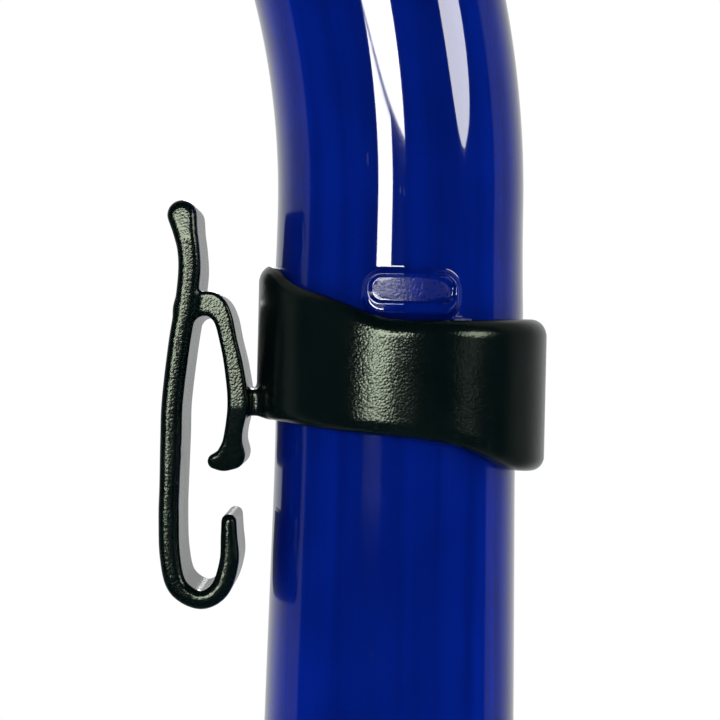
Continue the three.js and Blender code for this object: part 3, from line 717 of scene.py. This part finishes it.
stand_in(barrel, "barrel_tube", barrel_blue)
print("barrel", len(barrel.data.polygons), "faces")

# %% [markdown]
# The seal ring sits in the groove near the barrel's top, and the safety band is stretched on a
# little below it. Both follow the barrel's way. Each is a rounded outline carried round.

# %% Seal ring and safety band
round_section = np.stack([11.75 + 0.5 * np.cos(FULL_TURN[::5] - np.pi / 2),
                          GROOVE + 0.5 * np.sin(FULL_TURN[::5] - np.pi / 2)], 1)
stand_in(turned("seal_ring", barrel_place, round_section, bend=barrel_bend),
         "barrel_o_ring", silicone_black)


def band_relief(angle, height, radius):
    """Two shallow grooves that run round the band near its edges."""
    across = np.abs(height - (BARREL_TOP - 46))
    return -0.18 * (radius > 12.9) * np.exp(-((across - 7.5) / 0.35) ** 2)


BAND = (BODY + 0.3, BODY + 0.85, BARREL_TOP - 56, BARREL_TOP - 36)
band_outline = with_rows(ring_outline(*BAND, 0.24), BAND[1],
                         np.linspace(BAND[2] + 0.6, BAND[3] - 0.6, 96))
stand_in(turned("safety_band_cover", barrel_place, band_outline, bend=barrel_bend,
                relief=band_relief), "safety_band", safety_orange)

# %% [markdown]
# ## The hose
# The hose is a silicone moulding with a plain cuff at each end and eight folds between them, so
# that it bends easily. Its outline is a wave, and the wall inside follows the wave. It hangs
# from the barrel's foot and curves towards the mouth. It meets the barrel at one end and the
# chamber at the other, and moves with neither.

# %% The hose
HOSE_STRAIGHT, HOSE_RADIUS, HOSE_ANGLE, HOSE_CUFF = 20.0, 60.0, np.radians(42), 14.0
HOSE_FOOT = SHOULDER - HOSE_STRAIGHT - HOSE_RADIUS * HOSE_ANGLE - HOSE_CUFF
CUFF_INNER, CUFF_OUTER, CUFF_LENGTH = 11.6, 13.7, 15.5
FOLDS = 8
hose_bend = bend_from(SHOULDER - HOSE_STRAIGHT, HOSE_RADIUS, HOSE_ANGLE, -1)

fold_low, fold_high = HOSE_FOOT + CUFF_LENGTH, SHOULDER - CUFF_LENGTH - 0.3
fold_rows = np.linspace(fold_low, fold_high, 20 * FOLDS + 1)
wave = np.cos(2 * np.pi * FOLDS * (fold_rows - fold_low) / (fold_high - fold_low))
crest = 12.85 - 1.35 * np.sign(wave) * np.abs(wave) ** 0.75
crest[[0, -1]] = 12.0
low_cuff = rounded([(CUFF_INNER, HOSE_FOOT + 0.3), (CUFF_OUTER, HOSE_FOOT + 0.3),
                    (CUFF_OUTER, fold_low), (CUFF_INNER, fold_low)], (0.3, 0.6, 0.8, 0.1))[:18]
high_cuff = rounded([(CUFF_INNER, fold_high), (CUFF_OUTER, fold_high),
                     (CUFF_OUTER, SHOULDER - 0.3), (CUFF_INNER, SHOULDER - 0.3),
                     (CUFF_INNER, BARREL_FOOT - 0.3)], (0.1, 0.8, 0.6, 0.3, 0.3))[6:]
hose_outline = np.vstack([
    low_cuff, np.stack([crest, fold_rows], 1)[2:-2], high_cuff,
    np.stack([crest - 1.5, fold_rows], 1)[-14:6:-1], [(CUFF_INNER, HOSE_FOOT + 14.5)]])
hose = turned("hose", barrel_place, hose_outline, bend=hose_bend)
stand_in(hose, "flex_hose", silicone_black)
tuple(barrel_place.point(0, 0, SHOULDER - CUFF_LENGTH))
tuple(chamber_place.point(0, 0, CUFF_LENGTH))
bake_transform(hose)
print("hose", round(SHOULDER - HOSE_FOOT, 1), "mm along its axis")

# %% [markdown]
# A hard ring over each cuff keeps the hose on. The rings have fine grip ribs round them, which
# are a wave added to the radius.

# %% Trim rings
def grip(inner, low, high, count=48, depth=0.35):
    """A wave round the outside, that fades out towards the ring's two edges."""
    def relief(angle, height, radius):
        fade = ease((height - low) / 1.1) * ease((high - height) / 1.1)
        return -depth * (radius > inner) * fade * (0.5 - 0.5 * np.cos(count * angle)) ** 2
    return relief


def fine_ring(inner, outer, low, high, fillet, rows=24):
    """A ring's outline with extra rows up its outside, for a relief to show on."""
    return with_rows(ring_outline(inner, outer, low, high, fillet), outer,
                     np.linspace(low + fillet, high - fillet, rows)[1:-1])


FINE_TURN = np.linspace(0, 2 * np.pi, 48 * 8, endpoint=False)
for name, low in (("hose_ring_upper", SHOULDER - 10), ("hose_ring_lower", HOSE_FOOT + 3)):
    piece = turned(name + "_cover", barrel_place, fine_ring(14.0, 15.3, low, low + 7, 0.45),
                   FINE_TURN, hose_bend, grip(14.6, low + 0.5, low + 6.5))
    stand_in(piece, name, trim_blue)

# %% [markdown]
# ## The dry top
# The dry top is a housing round two chambers, so seen from above it has an egg's outline: two
# circles and the straight lines that touch both. The barrel plugs into a socket at its foot. The
# large chamber holds the airway's seat and the small one holds the float. It is one moulding
# with its walls cut out of it, so it is written as a distance.

# %% The dry top's outline
HEAD_A, HEAD_B, FLOAT_AXIS, WALL = 17.0, 15.0, 20.0, 1.8
HEAD_FOOT, DECK, SEAT, RIM, ROOF, SOCKET = -24.0, 2.3, 5.0, 12.0, 20.5, -32.0
SOCKET_RADIUS, SEAT_RADIUS, PORT_RADIUS, BOSS_RADIUS, PIN_HOLE = 14.8, 11, 9.2, 2.9, 1.15
GAP = 0.3


def egg(x, y, inset=0.0):
    """Distance outside the outline round both circles, moved inwards by inset."""
    a, b = HEAD_A - inset, HEAD_B - inset
    lean = (a - b) / FLOAT_AXIS
    upright = np.sqrt(1 - lean ** 2)
    y = np.abs(y)
    along = upright * x - lean * y
    flank = lean * x + upright * y - a
    beyond = np.where(along > upright * FLOAT_AXIS, np.hypot(x - FLOAT_AXIS, y) - b, flank)
    return np.where(along < 0, np.hypot(x, y) - a, beyond)


def crescent(x, y, outer, bite):
    return cut(np.hypot(x - FLOAT_AXIS, y) - outer, np.hypot(x, y) - bite, 0.8)


def slots(x, y, z, centre, angles, radius, width, low, high):
    """Upright slots with round ends through a round wall, one at each angle."""
    nearest = 1e3
    for a in angles:
        across = np.abs((x - centre) * -np.sin(a) + y * np.cos(a)) - width / 2
        deep = np.abs((x - centre) * np.cos(a) + y * np.sin(a) - radius) - 5
        slot = meet(across, between(z, low, high), width / 2 - 0.1)
        nearest = np.minimum(nearest, np.maximum(slot, deep))
    return nearest


# %% Its lower housing
def head_base_distance(x, y, z):
    round_barrel = np.hypot(x, y)
    shell = meet(meet(egg(x, y), HEAD_FOOT - z, 1.4), z - RIM, 0.25)
    hollow = meet(egg(x, y, WALL), DECK - z, 0.8)
    float_well = meet(crescent(x, y, HEAD_B - WALL, 14.8), HEAD_FOOT + WALL - z, 0.8)
    shell = cut(shell, join(hollow, np.maximum(float_well, z - DECK - 1), 0.2), 0.25)
    socket = meet(round_barrel - SOCKET_RADIUS, between(z, SOCKET, HEAD_FOOT + 1), 0.9)
    beads = np.hypot(round_barrel - 14.75, np.abs(z + 28) - 1.8) - 0.42
    whole = join(shell, join(socket, beads, 0.3), 1.2)
    whole = join(whole, meet(round_barrel - SEAT_RADIUS, between(z, DECK - 1, SEAT), 0.4), 0.5)
    from_pin = np.hypot(x - VALVE_PIVOT[0], z - VALVE_PIVOT[1])
    bosses = meet(from_pin - BOSS_RADIUS, -egg(x, y, 3.1), 0.2)
    whole = join(whole, np.maximum(bosses, egg(x, y, 1)), 0.5)
    socket_bore = np.maximum(round_barrel - BODY - GAP, z - GAP)
    port = np.maximum(round_barrel - PORT_RADIUS, -1 - z)
    drains = np.maximum(np.hypot(x - FLOAT_AXIS - 4, np.abs(y) - 5) - 2, z - HEAD_FOOT - 4)
    water = np.minimum(
        slots(x, y, z, 0, np.linspace(1.9, 2 * np.pi - 1.9, 5), HEAD_A, 3, 5.4, 10),
        slots(x, y, z, FLOAT_AXIS, (-0.7, 0, 0.7), HEAD_B, 2.6, -18, 6))
    holes = np.minimum(np.minimum(socket_bore, port), np.minimum(drains, from_pin - PIN_HOLE))
    return cut(whole, np.minimum(holes, water), 0.3)


head_base = moulded("head_housing", head_place, head_base_distance,
                    (-17.5, -17.5, -32.5), (35.5, 17.5, 12.3), 0.62)
stand_in(head_base, "head_base", housing_black)

# %% Its cap
def head_cap_distance(x, y, z):
    low = RIM + GAP
    dome = meet(meet(egg(x, y), z - ROOF, 3.2), low - z, 0.25)
    panel = meet(egg(x, y, 5.2), ROOF - 0.45 - z, 0.2)
    dome = cut(dome, panel, 0.3)
    skirt = meet(egg(x, y, WALL + GAP), between(z, RIM - 2.4, low + 1), 0.3)
    hollow = meet(egg(x, y, WALL + GAP + 1.3), z - ROOF + WALL, 1.2)
    vents = np.minimum(
        slots(x, y, z, 0, np.linspace(1.5, 2 * np.pi - 1.5, 7), HEAD_A, 2.4, RIM + 1.8, RIM + 5.4),
        slots(x, y, z, FLOAT_AXIS, np.linspace(-1, 1, 5), HEAD_B, 2.4, RIM + 1.8, RIM + 5.4))
    return cut(join(dome, skirt, 0.2), np.minimum(hollow, vents), 0.3)


head_cap = moulded("head_top", head_place, head_cap_distance,
                   (-17.5, -17.5, 9), (35.5, 17.5, 21), 0.42)
stand_in(head_cap, "head_cap", trim_blue)

# %% [markdown]
# Inside, a foam float rises with the water and turns a small lever on a steel pin, and the lever
# presses a soft disc on the seat. The lever hangs open, so its place is turned away from the
# head's by the angle that the valve opens.

# %% Float, pin, lever and seal
VALVE_OPENING, VALVE_TAIL = np.radians(20), 10.0


def float_distance(x, y, z):
    pin_height = VALVE_PIVOT[1] - VALVE_TAIL * np.sin(VALVE_OPENING / 2)
    lug = x - VALVE_PIVOT[0] - VALVE_TAIL
    block = meet(crescent(x, y, 12.5, 15.5), between(z, -19, 2.3), 0.8)
    ears = meet(np.abs(lug) - 2.6, meet(np.abs(np.abs(y) - 4.4) - 0.8,
                                        between(z, 1.5, pin_height + 2.6), 0.2), 0.4)
    slot = meet(np.abs(lug) - 1.6, np.abs(z - pin_height) - 1.25, 0.9)
    return cut(join(block, ears, 0.5), slot, 0.15)


stand_in(moulded("float_block", head_place, float_distance, (11.5, -13, -20), (33, 13, 10), 0.42),
         "float", float_foam)

PIN_END = 15.2
pin_outline = axis_outline([(0, -PIN_END), (1, -PIN_END), (1, PIN_END), (0, PIN_END)], 0.3)
valve_pin = turned("pin", head_place, pin_outline, bend=lambda p: np.stack(
    [VALVE_PIVOT[0] + p[:, 0], -p[:, 2], VALVE_PIVOT[1] + p[:, 1]], 1))
stand_in(valve_pin, "valve_pin", pin_steel)

valve_place = Place(pivot("flap_turn"), head_place.up * np.cos(VALVE_OPENING)
                    + head_place.side * np.sin(VALVE_OPENING))
valve_place.origin = valve_place.point(-VALVE_PIVOT[0], 0, -VALVE_PIVOT[1])
SEAL_LOW, SEAL_HIGH, CARRIER_LOW, CARRIER_HIGH = 5.3, 6.9, 7.2, 8.6


def lever_distance(x, y, z):
    u, v = x - VALVE_PIVOT[0], z - VALVE_PIVOT[1]
    rise = VALVE_OPENING / 2
    along, above = u * np.cos(rise) + v * np.sin(rise), v * np.cos(rise) - u * np.sin(rise)
    disc = meet(np.hypot(x, y) - 10.2, between(z, CARRIER_LOW, CARRIER_HIGH), 0.4)
    rib = meet(meet(np.abs(y) - 0.7, between(x, 2.6, 12), 0.3), between(z, 8, 10.2), 0.3)
    neck = meet(between(u, -6.5, 0), meet(np.abs(y) - 4.5, between(z, CARRIER_LOW, CARRIER_HIGH)))
    hub = meet(np.hypot(u, v) - 2.3, np.abs(y) - 5, 0.3)
    tail = meet(between(along, 0, VALVE_TAIL + 0.3), meet(np.abs(y) - 2.4, np.abs(above) - 0.8))
    cross_pin = meet(np.hypot(along - VALVE_TAIL, above) - 0.9, np.abs(y) - 5.6, 0.25)
    body = join(join(disc, rib, 0.4), join(neck, join(hub, tail, 0.8), 0.8), 0.6)
    hole = np.minimum(np.hypot(u, v) - PIN_HOLE, np.hypot(x, y) - 1.9)
    return cut(join(body, cross_pin, 0.3), hole, 0.2)


stand_in(moulded("valve_arm", valve_place, lever_distance, (-10.5, -10.5, 5), (25, 10.5, 12), 0.3),
         "valve_lever", trim_blue)
seal_outline = axis_outline([
    (0, SEAL_LOW), (10.8, SEAL_LOW), (10.8, SEAL_HIGH), (1.6, SEAL_HIGH),
    (1.6, CARRIER_HIGH + GAP), (2.6, CARRIER_HIGH + GAP), (1.8, CARRIER_HIGH + 1.7),
    (0, CARRIER_HIGH + 1.7)], 0.3)
stand_in(turned("valve_disc", valve_place, seal_outline), "valve_seal", silicone_black)

# %% [markdown]
# ## The purge chamber
# The hose ends in a rigid chamber. Its outlet points to the mouth, and its foot holds a one-way
# valve, so that water drains when the wearer blows out. The body swells and runs into the outlet
# with a generous fillet, as a moulding does. Radius against height is a smooth curve.

# %% The chamber's body
CHAMBER_OUTSIDE = smooth_path(np.array([
    (16.0, -44), (16.3, -41), (16.8, -38.5), (17.5, -35), (17.8, -31), (17.85, -26), (17.8, -20),
    (17.35, -15), (16.5, -11), (15.2, -6.5), (14.1, -2.5), (13.7, 0), (13.7, 1)]))
CHAMBER_INSIDE = smooth_path(np.array([
    (13.6, -46), (13.6, -40), (14.4, -36), (15.6, -32), (15.9, -26), (15.8, -20), (15.3, -15),
    (14.2, -11), (12.0, -6), (9.8, -2), (9.4, 0), (9.4, 4)]))


def radius_at(z, path):
    """Radius of a (radius, height) path at height z."""
    return np.interp(z, path[:, 1], path[:, 0])


def along_outlet(x, y, z):
    """Distance along the outlet's axis, and away from it."""
    x, z = -x, OUTLET_HEIGHT - z
    c, s = np.cos(OUTLET_TILT), np.sin(OUTLET_TILT)
    return x * c + z * s, np.hypot(y, z * c - x * s)


def chamber_distance(x, y, z):
    r = np.hypot(x, y)
    along, away = along_outlet(x, y, z)
    body = meet(0.97 * (r - radius_at(z, CHAMBER_OUTSIDE)), between(z, -41, 0), 0.5)
    foot = meet(r - 15.6, between(z, -44, -40), 0.4)
    spigot = meet(r - 11.3, between(z, -3, 13.2), 0.5)
    snap = np.hypot(r - 16.35, z + 40) - 0.5
    body = join(join(body, foot, 0.2), join(spigot, snap, 0.1), 0.2)
    outlet = meet(away - 11.5, between(along, 4, OUTLET_LENGTH), 0.5)
    outlet = cut(outlet, meet(10.9 - away, between(along, 28.3, 29.7), 0.05), 0.15)
    inside = np.maximum(0.95 * (r - radius_at(z, CHAMBER_INSIDE)), -46 - z)
    bore = np.maximum(away - 9.6, 6 - along)
    return cut(join(body, outlet, 2.6), join(inside, bore, 0.8), 0.3)


chamber = moulded("chamber", chamber_place, chamber_distance,
                  (-40, -18.2, -44.5), (18.2, 18.2, 13.6), 0.52)
stand_in(chamber, "chamber_body", housing_black)

# %% The purge valve
def purge_seat_distance(x, y, z):
    r, angle = np.hypot(x, y), np.arctan2(y, x)
    sector = angle - np.pi / 3 * np.round(angle / (np.pi / 3))
    spoke = np.abs(r * np.sin(sector)) - 1.25
    ring = meet(meet(r - 13.3, 1.8 - r, 0.3), between(z, -42, -40), 0.3)
    window = meet(meet(r - 10.8, 4 - r, 0.3), -spoke, 0.8)
    return cut(ring, window, 0.3)


stand_in(moulded("purge_grille", chamber_place, purge_seat_distance,
                 (-13.6, -13.6, -42.3), (13.6, 13.6, -39.7), 0.26), "purge_seat", housing_black)

MEMBRANE_TOP = -42.3
disc = np.array([(r, MEMBRANE_TOP - 1.4 + 0.8 * (r / 12.2) ** 2 + 0.12 * np.cos(2.4 * r))
                 for r in np.linspace(0, 12.0, 60)])
stem = axis_outline([(0, -44), (12.2, MEMBRANE_TOP - 0.6), (12.2, MEMBRANE_TOP),
                     (1.5, MEMBRANE_TOP), (1.5, -38.4), (2.3, -38.0), (1.6, -36), (0, -35.6)], 0.25)
stand_in(turned("membrane_disc", chamber_place, np.vstack([disc, stem[1:]])),
         "purge_membrane", silicone_clear)

# %% [markdown]
# The cover snaps over the chamber's foot. It is a shallow cup with vents round its side and
# across its end, and grip ribs between the vents.

# %% The purge cover
COVER_LOW, COVER_HIGH = -52.0, -38.2
COVER_OUTSIDE = smooth_path(np.array([(17.3, -54), (17.35, -52), (17.6, -49.8), (18.0, -46),
                                      (18.4, -43), (18.4, -40), (18.4, -36)]))


def purge_cover_distance(x, y, z):
    r, angle = np.hypot(x, y), np.arctan2(y, x)
    outside = r - radius_at(z, COVER_OUTSIDE)
    outside = outside + 0.22 * ease((z + 43.6) / 0.8) * ease((-39 - z) / 0.8) * (
        0.5 - 0.5 * np.cos(60 * angle))
    shell = meet(meet(outside, COVER_LOW - z, 2.0), z - COVER_HIGH, 0.4)
    inner = np.maximum(r - np.where(z > -41.6, 16.9, 15.9), COVER_LOW + 2 - z)
    vents = slots(x, y, z, 0, np.linspace(0, 1.8 * np.pi, 10), 18, 4.2, COVER_LOW + 3,
                  COVER_LOW + 6.4)
    bar = np.abs(np.abs(np.abs(y) - 6) - 2) - 0.9
    grille = meet(meet(bar, r - 12.6, 0.7), z - COVER_LOW - 3, 0.1)
    dimple = np.hypot(np.hypot(x, y), z - COVER_LOW + 11.4) - 12
    return cut(cut(shell, inner, 0.3), np.minimum(np.minimum(vents, grille), dimple), 0.35)


stand_in(moulded("purge_cap", chamber_place, purge_cover_distance,
                 (-18.6, -18.6, -52.3), (18.6, 18.6, -38), 0.42), "purge_cover", trim_blue)

# %% [markdown]
# ## The mouthpiece
# A ribbed collar turns on the chamber's outlet and carries the mouthpiece. The mouthpiece is
# soft silicone: a neck, a curved lip shield that sits between the lips and the teeth, and two
# tabs to bite on. A tie holds it on the collar.

# %% The swivel collar
SWIVEL_RADIUS = 13.6
collar_corners = [(11.8, -7.6), (SWIVEL_RADIUS, -7.6), (SWIVEL_RADIUS, 2.2), (10.3, 2.2),
                  (10.3, 11.5), (10.55, 12), (10.55, 14), (8.9, 14), (8.9, 0.4), (11.8, 0.4)]
collar_outline = with_rows(
    rounded(collar_corners, (0.2, 0.5, 0.7, 0.3, 0.3, 0.3, 0.4, 0.2, 0.2, 0.2)),
    SWIVEL_RADIUS, np.linspace(-6.9, 1.2, 30))
stand_in(turned("swivel", mouth_place, collar_outline, FINE_TURN,
                relief=grip(13.3, -6.6, 0.8, 36, 0.4)), "swivel_collar", trim_blue)
stand_in(turned("swivel_seal", mouth_place, ring_outline(11.2, 11.6, -6.4, -5.6, 0.18)),
         "swivel_o_ring", silicone_black)

# %% The mouthpiece
LIP_WIDTH, LIP_HEIGHT, LIP_LOW, LIP_THICKNESS, LIP_CURVE = 58.0, 30.0, 23.0, 2.2, 55.0
TAB_OUT, TAB_WIDTH, TAB_THICKNESS, TAB_HEIGHT, TAB_REACH, TAB_WEB = 15.0, 11.0, 5.0, 12.0, 9.5, 4.5
TIE_LOW, TIE_HIGH = 5.5, 10.0
TIE_MIDDLE = (TIE_LOW + TIE_HIGH) / 2
NECK = smooth_path(np.array([(12.8, -2), (12.8, 6), (12.8, 12.0), (12.3, 16), (11.6, 20),
                             (11.2, 24), (11.2, 30)]))


def oval(x, y, height, width):
    """About the distance outside an oval: k (k - 1) / |slope of k|, where k = 1 on the oval."""
    k = np.hypot(2 * x / height, 2 * y / width)
    slope = np.hypot(4 * x / height ** 2, 4 * y / width ** 2)
    return k * (k - 1) / np.maximum(slope, 1e-6)


def bite_tabs(x, y, z):
    """A plate on a web, on each side, leaning with the lip shield's curve."""
    y, z = np.abs(y) - TAB_OUT, z - LIP_LOW - 2.2
    lean = np.arcsin(TAB_OUT / LIP_CURVE)
    v, w = y * np.cos(lean) + z * np.sin(lean), z * np.cos(lean) - y * np.sin(lean)
    web = meet(meet(np.abs(x) - TAB_WEB / 2, np.abs(v) - TAB_WIDTH / 2 + 1, 1.2),
               between(w, -1.5, TAB_REACH), 0.5)
    plate = meet(rounded_rectangle(x, v, (TAB_HEIGHT, TAB_WIDTH), 3.2),
                 between(w, TAB_REACH - 1, TAB_REACH + TAB_THICKNESS - 1), 1.6)
    ribs = 0.18 * np.cos(2 * np.pi * x / 2.4) * ease((w - TAB_REACH - 1) / 1.5)
    return join(web, plate - ribs * 0.6, 1.8)


def mouthpiece_distance(x, y, z):
    r = np.hypot(x, y)
    neck = meet(0.98 * (r - radius_at(z, NECK)), between(z, 2.6, LIP_LOW + 1.5), 0.5)
    seat_bead = np.hypot(r - 12.8, np.abs(z - TIE_MIDDLE) - 3.2) - 0.6
    neck = join(neck, np.maximum(seat_bead, -z), 0.4)
    from_axis = np.hypot(y, z - LIP_LOW - LIP_CURVE)
    edge = oval(x, y, LIP_HEIGHT, LIP_WIDTH)
    sheet = np.abs(from_axis - LIP_CURVE + LIP_THICKNESS / 2) - LIP_THICKNESS / 2
    thick = 0.5 * np.exp(-((edge + 1.6) / 1.3) ** 2)
    shield = np.maximum(meet(sheet - thick, edge, 1.0), z - LIP_LOW - 20)
    airway = np.minimum(
        np.maximum(r - np.interp(z, [14.5, 19.5], [10.85, 8.9]), z - 20.5),
        meet(oval(x, y, 11, 18), 17 - z, 0.5))
    return cut(join(join(neck, shield, 3.0), bite_tabs(x, y, z), 1.6), airway, 0.6)


mouthpiece = moulded("mouthpiece_soft", mouth_place, mouthpiece_distance,
                     (-15.6, -29.6, 2), (15.6, 29.6, 41), 0.46)
stand_in(mouthpiece, "mouthpiece", silicone_black)

# %% Its tie
def tie_distance(x, y, z):
    r, angle = np.hypot(x, y), np.arctan2(y, x)
    teeth = 0.12 * (0.5 - 0.5 * np.cos(110 * angle)) * ease((1.8 - np.abs(z - TIE_MIDDLE)) / 0.4)
    strap = meet(meet(r - 14.2 + teeth, 13.1 - r, 0.2), between(z, TIE_LOW, TIE_HIGH), 0.3)
    head = meet(meet(between(x, 13.4, 17), np.abs(y) - 2.6, 0.5),
                between(z, TIE_LOW, TIE_HIGH), 0.5)
    stub = meet(meet(between(x, 14.4, 15.7), between(y, 2, 4.4), 0.2), between(z, 6, 9.5), 0.3)
    slit = meet(meet(between(x, 16, 18), np.abs(y) - 1.2, 0.2), between(z, 6.4, 9.1), 0.2)
    return cut(join(strap, join(head, stub, 0.2), 0.4), slit, 0.15)


stand_in(moulded("tie", mouth_place, tie_distance, (-14.5, -14.5, 5.2), (17.3, 14.5, 10.3), 0.3),
         "mouthpiece_band", housing_black)

# %% [markdown]
# ## Light
# The snorkel is lit as for a catalogue: it stands in a bright tent, with its camera side in the
# dark, so its glossy edges pick up white lines. A soft box above and a little left of the camera
# draws the long highlight down the barrel, and a round one to the right draws the second. Two
# small boxes under the first carry its highlight over the collar and down the barrel's foot, and
# one under the second does the same on the right. A tall one behind lights the far side.

# %% Lights
LIGHT_DISTANCE = 1.0


def soft_box(name, azimuth, elevation, width, height, power, shape="RECTANGLE"):
    """A lit panel that faces the keeper. Azimuth is measured from the camera to the right."""
    a, e = np.radians(azimuth), np.radians(elevation)
    out = np.array([np.sin(a) * np.cos(e), -np.cos(a) * np.cos(e), np.sin(e)])
    lamp = bpy.data.lights.new(name, "AREA")
    lamp.shape, lamp.size, lamp.size_y, lamp.energy = shape, width, height, power
    made = bpy.data.objects.new(name, lamp)
    made.location = barrel_place.origin + LIGHT_DISTANCE * out
    made.rotation_euler = (np.pi / 2 - e, 0, a)
    made.visible_camera = False
    bpy.context.collection.objects.link(made)
    return made


soft_box("key", -9.3, 14.1, 0.436, 0.22, 4.3)
soft_box("key_low", -15, 5.2, 0.225, 0.08, 0.75)
soft_box("key_foot", -21.8, -0.3, 0.28, 0.060, 1.15)
soft_box("second", 59.5, 20, 0.37, 0.36, 2.2, shape="ELLIPSE")
soft_box("second_foot", 52, -0.8, 0.24, 0.05, 0.045)
soft_box("rear", 181, 24, 0.14, 0.4, 1.8)

# %% The tent
# Each kind of ray meets the tent at its own brightness: what shows in gloss, what lights the
# plastic itself, and what the camera sees behind the snorkel. Brightness changes in two steps, at
# the wall beside the snorkel and at the rear. What shows in gloss rises at both, and what lights
# the plastic is brightest at the two sides and dimmer at the rear. A step's four numbers are how
# far round it starts and ends, from 0 at the sides to 1 at the rear, and what it adds before and
# after.
TENT_MIDDLE = np.radians(181)
GLOSS_WALL, GLOSS_REAR = (0.07, 0.11, 0.0, 0.13), (0.35, 1.0, 0.0, 0.42)
SOFT_WALL, SOFT_REAR = (0.05, 0.20, 0.0, 12.0), (0.25, 0.60, 0.0, -10.4)
FRONT_COLOR = (0.0015, 0.0085, 0.013)

world = bpy.data.worlds.new("tent")
bpy.context.scene.world = world
world.use_nodes = True
tree = world.node_tree
where = add_node(tree, "TexCoord", {})["Generated"]
towards = add_node(tree, "VectorMath", {"operation": "DOT_PRODUCT"}, where,
                   (np.sin(TENT_MIDDLE), -np.cos(TENT_MIDDLE), 0))["Value"]
ray = add_node(tree, "LightPath", {})
gloss, gloss_rear, soft, soft_rear = (
    add_node(tree, "MapRange", {"interpolation_type": "SMOOTHSTEP"}, towards, *wall)[0]
    for wall in (GLOSS_WALL, GLOSS_REAR, SOFT_WALL, SOFT_REAR))
gloss, soft = (add_node(tree, "Math", {"operation": "ADD"}, *pair)[0]
               for pair in ((gloss, gloss_rear), (soft, soft_rear)))
level = add_node(tree, "Mix", {}, ray["Is Diffuse Ray"], (0, 0, 0), gloss, soft)[0]
level = add_node(tree, "Mix", {}, ray["Is Camera Ray"], (0, 0, 0), level, 1.0)[0]
white = add_node(tree, "MixRGB", {"blend_type": "ADD"}, 1.0, level, (*FRONT_COLOR, 1))[0]
tree.links.new(white, tree.nodes["Background"].inputs["Color"])
bpy.context.scene.view_settings.view_transform = "Standard"

# %% [markdown]
# The floor is a pale disc just below the snorkel. It fades out with distance, so it has no edge,
# and it doesn't show in gloss.

# %% The floor
lowest = min(corner[2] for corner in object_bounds())
FLOOR_RADIUS, FLOOR_RINGS, FLOOR_DROP = 0.6, 24, 0.002
COLUMNS = len(FULL_TURN)
radius_grid, angle_grid = np.meshgrid(np.linspace(0.01, FLOOR_RADIUS, FLOOR_RINGS), FULL_TURN,
                                      indexing="ij")
floor_points = np.stack([radius_grid * np.cos(angle_grid), radius_grid * np.sin(angle_grid),
                         0 * radius_grid + lowest - FLOOR_DROP], -1).reshape(-1, 3)
i, j = np.meshgrid(np.arange(FLOOR_RINGS - 1), np.arange(COLUMNS), indexing="ij")
i2, j2 = i + 1, (j + 1) % COLUMNS
floor_faces = np.stack([i * COLUMNS + j, i2 * COLUMNS + j, i2 * COLUMNS + j2, i * COLUMNS + j2], -1)
floor = mesh_object("floor", floor_points, floor_faces.reshape(-1, 4),
                    np.arange(COLUMNS)[None, :])
paper = Finish("paper", (0.86, 0.86, 0.86), 0.9, **{"Specular IOR Level": 0.1})
away = paper.node("VectorMath", {"operation": "LENGTH"}, paper.where, output="Value")
paper.set(Alpha=paper.span(away, 250, 560, 1, 0))
floor.data.materials.append(paper.material)
floor.visible_glossy = False
floor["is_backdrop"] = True
